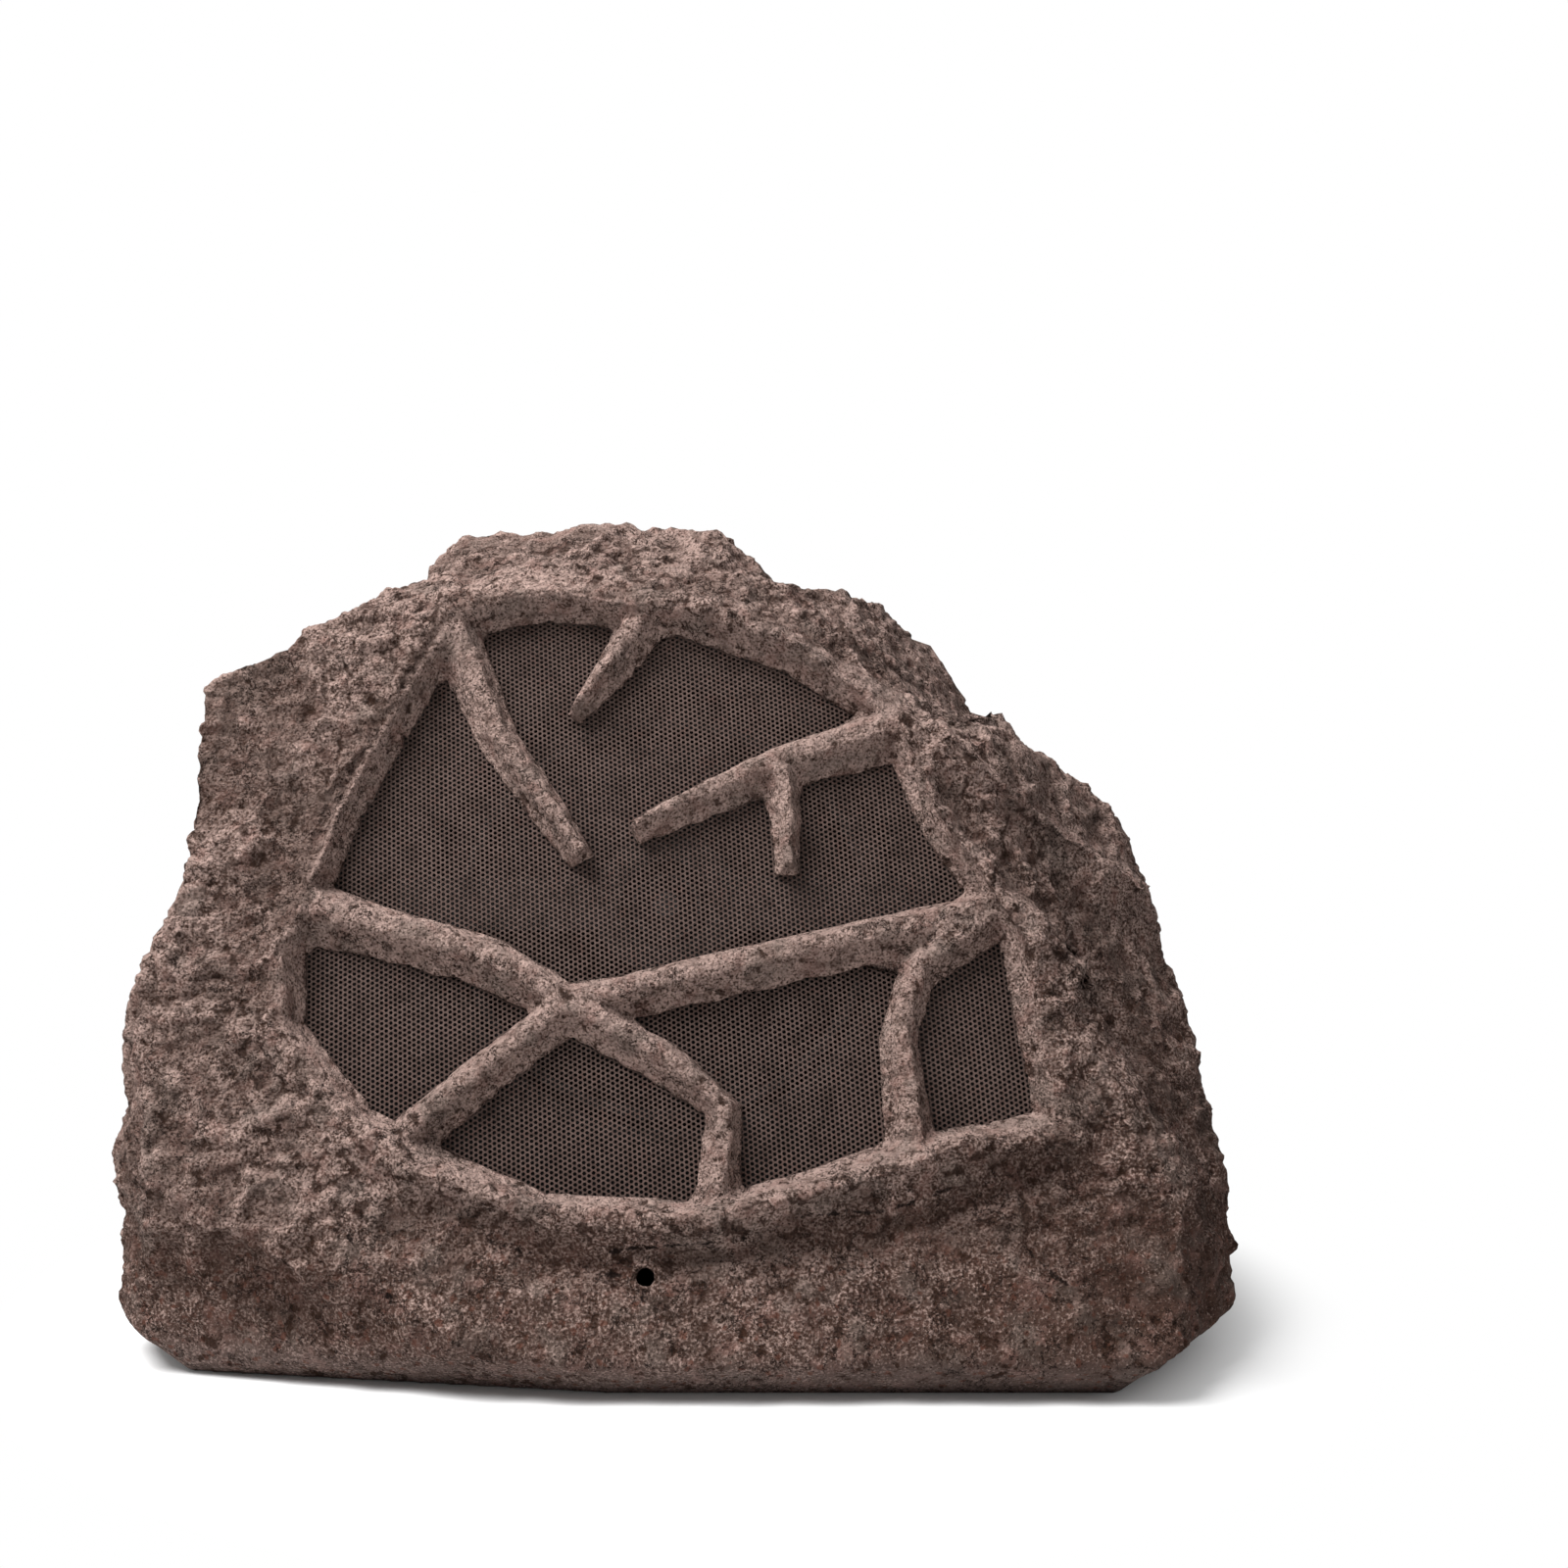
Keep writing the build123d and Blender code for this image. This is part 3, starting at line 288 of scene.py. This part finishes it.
def leave():
    bpy.ops.object.mode_set(mode="OBJECT")


def modify(piece, kind, **settings):
    """Adds a modifier, sets it and applies it."""
    only(piece)
    modifier = piece.modifiers.new(kind, kind)
    for key, value in settings.items():
        setattr(modifier, key, value)
    bpy.ops.object.modifier_apply(modifier=modifier.name)


def rename(piece, name):
    """Gives a piece and its mesh the same name."""
    piece.name = name
    piece.data.name = name


def copy_of(node, name):
    """A merged copy of a solid, free of its body."""
    only(nodes[node])
    bpy.ops.object.duplicate()
    piece = bpy.context.object
    rename(piece, name)
    piece.parent = None
    del piece["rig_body"]
    del piece["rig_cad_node"]
    edit("SELECT")
    bpy.ops.mesh.remove_doubles(threshold=1e-6)
    leave()
    return piece


def read(items, name):
    """A vector of every vertex or face, as rows of an array."""
    flat = np.empty(len(items) * 3)
    items.foreach_get(name, flat)
    return flat.reshape(-1, 3)


def tree_of(*pieces):
    """A search tree over the faces of these pieces."""
    corners = []
    faces = []
    for piece in pieces:
        start = len(corners)
        corners += [v.co.copy() for v in piece.data.vertices]
        faces += [[start + i for i in face.vertices] for face in piece.data.polygons]
    return BVHTree.FromPolygons(corners, faces)


def tree_as_shaped(piece):
    """A search tree over a piece as it stands after its last modifier."""
    return BVHTree.FromObject(piece, bpy.context.evaluated_depsgraph_get())


def select_faces(piece, chosen):
    """Selects the chosen faces and nothing else, and goes into edit mode."""
    only(piece)
    edit("DESELECT")
    bpy.ops.mesh.select_mode(type="FACE")
    leave()
    piece.data.polygons.foreach_set("select", chosen.astype(bool))
    bpy.ops.object.mode_set(mode="EDIT")


def paint_weights(piece, name, weights, levels=48):
    """Stores a weight for each vertex as a vertex group."""
    group = piece.vertex_groups.new(name=name)
    steps = np.rint(np.clip(weights, 0, 1) * levels).astype(int)
    for level in range(1, levels + 1):
        members = np.nonzero(steps == level)[0]
        if len(members):
            group.add(members.tolist(), level / levels, "REPLACE")


def keep_number(piece, name, values):
    """Stores a number for each vertex, for the finish to read."""
    numbers = piece.data.attributes.new(name, "FLOAT", "POINT")
    numbers.data.foreach_set("value", np.asarray(values, np.float32))


def smooth_step(value, low, high):
    t = np.clip((value - low) / (high - low), 0, 1)
    return t * t * (3 - 2 * t)


def line_distance(x, z, line):
    """How far each point lies from a line of points, as seen from the front."""
    nearest = np.full(len(x), np.inf)
    for (x0, z0), (x1, z1) in zip(line, line[1:]):
        dx, dz = (x1 - x0) * MM, (z1 - z0) * MM
        along = np.clip(((x - x0 * MM) * dx + (z - z0 * MM) * dz) / (dx * dx + dz * dz), 0, 1)
        nearest = np.minimum(nearest, np.hypot(x - x0 * MM - along * dx, z - z0 * MM - along * dz))
    return nearest


def band(x, z, lines):
    """Each line's share of MOST_RISE on it, falling off to both sides from a sharp crest."""
    return np.max([height / MOST_RISE * np.exp(-line_distance(x, z, line) / RIDGE_WIDTH)
                   for height, line in lines], axis=0)


# Stone shell

def faces_in_daylight(piece):
    """Which faces of a closed shell see the open air past all the solids."""
    solids = tree_of(*nodes.values())
    golden = math.pi * (3 - math.sqrt(5))
    sky = []
    for i in range(SKY_RAYS):
        z = 1 - (2 * i + 1) / SKY_RAYS
        r = math.sqrt(1 - z * z)
        sky.append(Vector((r * math.cos(golden * i), r * math.sin(golden * i), z)))
    lit = []
    for face in piece.data.polygons:
        start = face.center + face.normal * 0.2 * MM
        rays = [(face.normal + way * 0.97).normalized() for way in sky]
        lit.append(any(solids.ray_cast(start, ray)[0] is None for ray in rays))
    return np.array(lit, float)


def drop_crumbs(piece):
    """Deletes whatever hangs free of the piece."""
    only(piece)
    edit("DESELECT")
    bpy.ops.mesh.select_mode(type="VERT")
    leave()
    foremost = int(np.argmin(read(piece.data.vertices, "co")[:, 1]))
    piece.data.vertices[foremost].select = True
    bpy.ops.object.mode_set(mode="EDIT")
    bpy.ops.mesh.select_linked()
    bpy.ops.mesh.select_all(action="INVERT")
    bpy.ops.mesh.delete(type="VERT")
    leave()


def weigh_stone(piece, lit, to_sheet):
    """Paints where the stone is rounded, lumpy, chipped, ridged and grooved."""
    normals = read(piece.data.vertex_normals, "vector")
    x, y, z = read(piece.data.vertices, "co").T
    facing = lit * smooth_step(-normals[:, 1], -0.15, 0.15) * (y < FRONT_HALF)
    foot = smooth_step(z, 4 * MM, 24 * MM)
    from_gland = np.hypot(x - GLAND_AXIS[0], z - GLAND_AXIS[1])
    pocket = np.where(y > 0, smooth_step(from_gland, GLAND_CLEAR, GLAND_CLEAR + 10 * MM), 1)
    from_drain = np.hypot(x - DRAIN[0], z - DRAIN[1])
    drain = np.where(y < DRAIN_SIDE, smooth_step(from_drain, 4 * MM, 9 * MM), 1)
    tracery = 1 - smooth_step(to_sheet, 12 * MM, 15.5 * MM)
    seat = smooth_step(to_sheet, 1 * MM, 5 * MM)
    border = (60 + 7 * np.sin(x / (17 * MM)) - 34 * smooth_step(abs(x), 95 * MM, 165 * MM)) * MM
    calm = 1 - 0.7 * facing * (1 - smooth_step(z, border - 12 * MM, border + 6 * MM))
    off_ground = smooth_step(z, 1 * MM, 6 * MM)
    open_stone = lit * foot * pocket * drain
    outside = facing * open_stone * (1 - tracery)
    paint_weights(piece, "round", lit * pocket * drain * (1 - 0.92 * tracery) * off_ground)
    paint_weights(piece, "lumps", open_stone * (1 - tracery))
    paint_weights(piece, "chips", open_stone * seat * calm * (1 - 0.5 * tracery))
    paint_weights(piece, "ridges", outside * band(x, z, RIDGES))
    paint_weights(piece, "grooves", outside * band(x, z, GROOVES))
    paint_weights(piece, "plain", 1 - facing)


def relief(piece, name, kind, size, strength, group, **settings):
    """Pushes the surface in and out by a pattern of lumps of one size."""
    pattern = bpy.data.textures.new(name, kind)
    pattern.noise_scale = size
    for key, value in settings.items():
        setattr(pattern, key, value)
    modify(piece, "DISPLACE", texture=pattern, texture_coords="LOCAL", strength=strength,
           mid_level=0.5, vertex_group=group)


def stone_shell():
    piece = copy_of("rock_shell", "stone_shell")
    lit_faces = faces_in_daylight(piece)
    solid = tree_of(piece)
    sheet = tree_of(nodes["grille"])
    modify(piece, "REMESH", mode="VOXEL", voxel_size=STONE_VOXEL)
    drop_crumbs(piece)

    points = read(piece.data.vertices, "co")
    lit = np.array([lit_faces[solid.find_nearest(point)[2]] for point in points])
    to_sheet = np.array([sheet.find_nearest(point)[3] for point in points])
    weigh_stone(piece, lit, to_sheet)

    modify(piece, "SMOOTH", factor=0.5, iterations=STONE_ROUNDINGS, vertex_group="round")
    calm_stone = tree_as_shaped(piece)
    modify(piece, "DISPLACE", strength=MOST_RISE * MM, mid_level=0, vertex_group="ridges")
    modify(piece, "DISPLACE", strength=-MOST_RISE * MM, mid_level=0, vertex_group="grooves")
    relief(piece, "boulder", "CLOUDS", 55 * MM, 4 * MM, "lumps", noise_depth=1)
    relief(piece, "bedding", "MUSGRAVE", 24 * MM, 3 * MM, "lumps",
           musgrave_type="RIDGED_MULTIFRACTAL", octaves=3, noise_intensity=0.6)
    relief(piece, "chips", "CLOUDS", 8 * MM, 5.5 * MM, "chips",
           noise_depth=3, noise_type="HARD_NOISE", noise_basis="IMPROVED_PERLIN")
    relief(piece, "flakes", "VORONOI", 7 * MM, 2.6 * MM, "chips", color_mode="POSITION")
    modify(piece, "SMOOTH", factor=0.5, iterations=1, vertex_group="lumps")

    modify(piece, "DECIMATE", ratio=min(1, STONE_TRIANGLES / (2 * len(piece.data.polygons))),
           vertex_group="plain")
    piece.vertex_groups.clear()
    only(piece)
    bpy.ops.object.shade_smooth()

    points = read(piece.data.vertices, "co")
    heights = []
    for point in points:
        base, normal = calm_stone.find_nearest(point)[:2]
        heights.append((Vector(point) - base).dot(normal))
    keep_number(piece, "relief", heights)
    keep_number(piece, "sheet", [sheet.find_nearest(point)[3] for point in points])
    elsewhere = np.where(points[:, 1] < CRACKED_SIDE, 0, 1)
    keep_number(piece, "crack", elsewhere + np.min(
        [line_distance(points[:, 0], points[:, 2], line) for line in CRACKS], axis=0))
    return piece


def stone_finish():
    stone = Finish("stone_resin", Roughness=0.95, Specular_IOR_Level=0.06)
    height = stone.place.part("Z")
    upward = stone.node("NewGeometry", out="Normal").part("Z").step(0.2, 0.9)
    low = 1 - (height + (stone.noise(55 * MM, 3) - 0.5) * 70 * MM).step(40 * MM, 72 * MM)
    lumps = stone.attribute("relief")
    crack = stone.attribute("crack")
    sheet = stone.attribute("sheet")
    ribs = 1 - sheet.step(11 * MM, 15 * MM)
    rim = sheet.step(12 * MM, 17 * MM) * (1 - sheet.step(30 * MM, 46 * MM))
    shade = stone.place.part("X").step(20 * MM, 190 * MM) * (1 - height.step(60 * MM, 230 * MM))

    chips = stone.noise(6.5 * MM, 5, 0.68)
    grit = stone.noise(1.1 * MM, 2, 0.6)
    flake = stone.cells(4.6 * MM, stone.warped(4 * MM, 2.2 * MM))
    # Painted shade in the gaps between flakes, where the bump sinks the surface
    gap_shade = flake.step(0.58, 0.82) * (0.4 + rim * 0.45 - low * 0.1)
    # Painted shade in the clefts between chips, where the chips height is low
    cleft_shade = 1 - chips.step(0.35, 0.43 + low * 0.02)
    hairs = 1 - (stone.noise(10 * MM, 5, 0.65) - 0.5).size().step(0.003, 0.014)
    hairs = hairs * stone.noise(22 * MM, 2).step(0.48 - low * 0.08, 0.55)
    split = 1 - (crack + (chips - 0.47) * 6 * MM).step(0.1 * MM, 0.8 * MM)
    stain = stone.noise(28 * MM, 4, 0.65).step(0.46, 0.62)
    spots = stone.warped(4 * MM, 2 * MM)
    rusty = stone.cells(4.2 * MM, spots, "Color").part("Y").step(0.45, 0.55)
    rust = (1 - stone.cells(4.2 * MM, spots).step(0.22, 0.38)) * rusty
    speckled = stone.cells(1.5 * MM, out="Color").part("Z").step(0.5, 0.6)
    specks = (1 - stone.cells(1.5 * MM).step(0.18, 0.34)) * speckled

    # Painted light and shade: the grain is lighter on the ribs and on upward faces, and darker on the
    # low front and the lower right flank
    painted_light_and_shade = 0.01 + ribs * 0.05 + upward * 0.09 - low * 0.10 - shade * 0.10
    body = stone.mix(grit.step(0.33 - painted_light_and_shade, 0.67 - painted_light_and_shade), GRAIN_DARK, GRAIN_LIGHT)
    body = stone.mix(stone.noise(9 * MM, 3).step(0.5, 0.68) * 0.45, body, CLAY)
    body = stone.mix(stone.noise(17 * MM, 3).step(0.5, 0.66) * 0.4, body, ASH)
    body = stone.mix(stain * (0.12 + low * 0.3), body, STAIN)
    body = stone.mix((1 - height.step(8 * MM, 22 * MM)) * 0.4, body, FOOT)
    body = stone.mix(rust * (0.15 + low * 0.55), body, RUST)
    # Painted shade in the hollows of the relief
    body = stone.mix((1 - lumps.step(-3 * MM, -0.6 * MM)) * 0.5, body, HOLLOW_SHADE)
    body = stone.mix(gap_shade, body, GAP_SHADE)
    body = stone.mix(cleft_shade * 0.85, body, CLEFT_SHADE)
    body = stone.mix(specks * 0.8, body, SPECK)
    body = stone.mix(hairs * 0.9, body, HAIR)
    body = stone.mix(split * 0.9, body, SPLIT)
    stone.set("Base Color", body)
    rough = (chips * 7 * MM - flake * (1 + rim) * 1.3 * MM) * (1 - low * 0.4)
    stone.bump(rough + grit * 0.9 * MM - hairs * 0.9 * MM - split * 1.2 * MM)
    return stone.owner


# Grille

def sheet_outline():
    """The outline of the grille's front face, across and up on the front."""
    corners = np.array([v.co for v in nodes["grille"].data.vertices])
    away = corners - np.array(FRONT_MIDDLE)
    face = -away @ np.array(FRONT_NORMAL) < GRILLE_DEPTH + SHEET / 2
    across = corners[face, 0]
    up = (away @ np.array(FRONT_UP))[face]
    return sorted({(round(x, 5), round(u, 5)) for x, u in zip(across, up)},
                  key=lambda corner: math.atan2(corner[1], corner[0]))


def inside(points, outline):
    """Which points lie inside a closed outline."""
    x, y = points.T
    crossed = np.zeros(len(points), bool)
    for (x0, y0), (x1, y1) in zip(outline, outline[1:] + outline[:1]):
        if y0 != y1:
            crossed ^= ((y0 > y) != (y1 > y)) & (x < (x1 - x0) * (y - y0) / (y1 - y0) + x0)
    return crossed


def repeat(piece, count, offset):
    """Lays copies of a piece in a row, each moved on by the offset."""
    modify(piece, "ARRAY", count=count, use_relative_offset=False, use_constant_offset=True,
           constant_offset_displace=offset)


def hexagon_grid(reach):
    """A flat sheet of joined hexagons round the origin, one for each hole."""
    bpy.ops.object.select_all(action="DESELECT")
    bpy.ops.mesh.primitive_circle_add(vertices=6, radius=HOLE_PITCH / math.sqrt(3),
                                      fill_type="NGON", rotation=(0, 0, math.pi / 6))
    sheet = bpy.context.object
    bpy.ops.object.transform_apply(location=True, rotation=True, scale=True)
    count = math.ceil(reach / HOLE_COLUMN)
    rows = math.ceil(2 * reach / HOLE_PITCH)
    repeat(sheet, 2, (HOLE_COLUMN, HOLE_PITCH / 2, 0))
    repeat(sheet, count, (2 * HOLE_COLUMN, 0, 0))
    repeat(sheet, rows, (0, HOLE_PITCH, 0))
    edit("SELECT")
    bpy.ops.mesh.remove_doubles(threshold=HOLE_PITCH / 20)
    bpy.ops.transform.translate(value=(-count * HOLE_COLUMN, -rows * HOLE_PITCH / 2, 0))
    bpy.ops.transform.rotate(value=-HOLE_TURN, orient_axis="Z", center_override=(0, 0, 0))
    leave()
    return sheet


def part_off(sheet, chosen):
    """Separates the chosen faces from the sheet, as a piece of their own."""
    select_faces(sheet, chosen)
    bpy.ops.mesh.separate(type="SELECTED")
    leave()
    return [piece for piece in bpy.context.selected_objects if piece != sheet][0]


def grille_sheets(stone):
    """The perforated sheet behind the ribs, pierced where it shows, in three pieces."""
    outline = sheet_outline()
    sheet = hexagon_grid(max(math.hypot(*corner) for corner in outline) + 2 * HOLE_PITCH)
    select_faces(sheet, ~inside(read(sheet.data.polygons, "center")[:, :2], outline))
    bpy.ops.mesh.delete(type="FACE")
    leave()

    to_front = Matrix.Translation(FRONT_MIDDLE - FRONT_NORMAL * GRILLE_DEPTH) @ Matrix(
        (Vector((1, 0, 0)), FRONT_UP, FRONT_NORMAL)).transposed().to_4x4()
    rock = tree_as_shaped(stone)
    spread = [Vector((0, 0, 0))] + [Vector((math.cos(a), math.sin(a), 0)) * HOLE_PITCH * 0.6
                                    for a in np.arange(6) * math.pi / 3]
    shows = []
    for centre in read(sheet.data.polygons, "center"):
        starts = [to_front @ (Vector(centre) + shift) for shift in spread]
        shows.append(any(rock.ray_cast(start, FRONT_NORMAL, RIB_REACH)[0] is None for start in starts))
    select_faces(sheet, np.array(shows))
    bpy.ops.mesh.inset(thickness=HOLE_INSET, use_individual=True)
    bpy.ops.mesh.delete(type="FACE")
    leave()

    centres = read(sheet.data.polygons, "center")
    arm_x, arm_up = np.array(ARMS).T * MM
    lower = part_off(sheet, centres[:, 1] < np.interp(centres[:, 0], arm_x, arm_up))
    upper_left = part_off(sheet, read(sheet.data.polygons, "center")[:, 0] < SHEET_SPLIT)
    pieces = {"grille_lower": lower, "grille_upper_left": upper_left, "grille_upper_right": sheet}
    for name, piece in pieces.items():
        rename(piece, name)
        modify(piece, "SOLIDIFY", thickness=SHEET, offset=-1)
        piece.matrix_world = to_front
        only(piece)
        bpy.ops.object.transform_apply(location=True, rotation=True, scale=True)
    return list(pieces.values())


def grille_finish():
    paint = Finish("grille_paint", Roughness=0.85, Specular_IOR_Level=0.1)
    fine = paint.noise(1.8 * MM, 4, 0.65)
    blotch = paint.noise(11 * MM, 4, 0.62)
    body = paint.mix(fine.step(0.3, 0.7), PAINT_DARK, PAINT_LIGHT)
    body = paint.mix(blotch.step(0.42, 0.7) * 0.55, body, PAINT_BLOTCH)
    body = paint.mix(paint.noise(5 * MM, 2).step(0.58, 0.7) * 0.2, body, PAINT_RED)
    paint.set("Base Color", body)
    paint.bump(fine * 0.2 * MM)
    return paint.owner


# Finishes of the pieces that keep their solids: dark and light tone, size and depth of the grain,
# roughness, and 1 for metal

INNER_FINISHES = {
    "foam": ((0.012, 0.012, 0.012), (0.03, 0.03, 0.03), 1.2 * MM, 0.5 * MM, 0.95, 0),
    "baffle_wood": ((0.008, 0.008, 0.008), (0.02, 0.019, 0.018), 0.8 * MM, 0.1 * MM, 0.8, 0),
    "screw_steel": ((0.45, 0.45, 0.44), (0.62, 0.62, 0.60), 0.6 * MM, 0.03 * MM, 0.38, 1),
    "frame_paint": ((0.010, 0.010, 0.010), (0.022, 0.022, 0.022), 0.9 * MM, 0.08 * MM, 0.5, 0),
    "cone_plastic": ((0.008, 0.008, 0.009), (0.016, 0.016, 0.017), 1.5 * MM, 0.05 * MM, 0.6, 0),
    "former_foil": ((0.60, 0.60, 0.62), (0.76, 0.76, 0.78), 1.0 * MM, 0.02 * MM, 0.3, 1),
    "coil_wire": ((0.42, 0.14, 0.05), (0.70, 0.30, 0.14), 0.5 * MM, 0.1 * MM, 0.35, 1),
    "surround_rubber": ((0.008, 0.008, 0.008), (0.018, 0.018, 0.018), 0.7 * MM, 0.05 * MM, 0.55, 0),
    "spider_cloth": ((0.38, 0.24, 0.09), (0.60, 0.42, 0.19), 0.7 * MM, 0.2 * MM, 0.9, 0),
    "plate_steel": ((0.42, 0.42, 0.43), (0.60, 0.60, 0.62), 2.0 * MM, 0.03 * MM, 0.4, 1),
    "ferrite": ((0.02, 0.02, 0.022), (0.045, 0.045, 0.05), 0.6 * MM, 0.08 * MM, 0.7, 0),
    "bridge_plastic": ((0.008, 0.008, 0.008), (0.02, 0.02, 0.02), 0.6 * MM, 0.06 * MM, 0.6, 0),
    "dome_film": ((0.012, 0.012, 0.014), (0.03, 0.03, 0.034), 2.0 * MM, 0.02 * MM, 0.3, 0),
    "base_plastic": ((0.012, 0.012, 0.012), (0.03, 0.03, 0.03), 0.8 * MM, 0.12 * MM, 0.6, 0),
    "board_laminate": ((0.01, 0.09, 0.035), (0.03, 0.18, 0.08), 1.5 * MM, 0.03 * MM, 0.4, 0),
    "capacitor_film": ((0.52, 0.32, 0.02), (0.68, 0.46, 0.06), 3.0 * MM, 0.03 * MM, 0.3, 0),
    "resistor_ceramic": ((0.58, 0.56, 0.50), (0.74, 0.72, 0.66), 0.8 * MM, 0.12 * MM, 0.9, 0),
    "terminal_plastic": ((0.008, 0.05, 0.22), (0.02, 0.09, 0.34), 1.0 * MM, 0.04 * MM, 0.5, 0),
    "gland_plastic": ((0.010, 0.010, 0.010), (0.026, 0.026, 0.026), 0.7 * MM, 0.08 * MM, 0.5, 0),
    "gland_rubber": ((0.007, 0.007, 0.007), (0.018, 0.018, 0.018), 0.6 * MM, 0.05 * MM, 0.65, 0),
}


def grained(name, dark, light, grain, depth, roughness, metallic):
    """A finish of two tones with a grain of one size."""
    finish = Finish(name, Metallic=metallic)
    pattern = finish.noise(grain, 4, 0.6)
    broad = finish.noise(30 * grain, 3)
    finish.set("Base Color", finish.mix(pattern * 0.6 + broad * 0.4, dark, light))
    finish.set("Roughness", roughness + (broad - 0.5) * 0.2)
    finish.bump(pattern * depth)
    return finish.owner


def finish_inner_pieces():
    finishes = {name: grained(name, *look) for name, look in INNER_FINISHES.items()}
    for part in frame["record"]["subparts"]:
        if part["material_slot"] in finishes:
            node = nodes[part["node"]]
            node.data.materials.clear()
            node.data.materials.append(finishes[part["material_slot"]])


# Floor, light and camera

def floor_and_light():
    bpy.ops.object.select_all(action="DESELECT")
    bpy.ops.mesh.primitive_plane_add(size=12)
    floor = bpy.context.object
    floor.name = "floor"
    paper = Finish("floor_paper", Roughness=1, Specular_IOR_Level=0, Base_Color=(0.8, 0.8, 0.8))
    far = paper.node("VectorMath", {"operation": "LENGTH"}, {0: paper.place}, "Value")
    paper.white_to_the_eye("Emission", far.step(*FLOOR_FADE))
    floor.data.materials.append(paper.owner)
    bpy.context.scene.world = Surroundings("studio", ROOM_LIGHT).owner

    for place, size, watts in LAMPS:
        bpy.ops.object.light_add(type="AREA", location=place)
        lamp = bpy.context.object
        lamp.data.size = size
        lamp.data.energy = watts
        lamp.rotation_euler = (LAMP_AIM - lamp.location).to_track_quat("-Z", "Y").to_euler()


def camera():
    bpy.ops.object.camera_add(location=CAMERA_PLACE, rotation=(CAMERA_TILT, 0, 0))
    view = bpy.context.object
    view.data.lens = 32
    view.data.sensor_width = 36
    view.data.shift_x = 0.06875
    view.data.shift_y = 0.115625
    bpy.context.scene.camera = view


# The whole object on its floor

stone = stone_shell()
stone.data.materials.clear()
stone.data.materials.append(stone_finish())
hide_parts("rock_shell")
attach(stone, "enclosure")

paint = grille_finish()
for sheet in grille_sheets(stone):
    sheet.data.materials.append(paint)
    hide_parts("grille")
    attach(sheet, "enclosure")

finish_inner_pieces()
floor_and_light()
camera()
bpy.context.scene.view_settings.view_transform = "Standard"
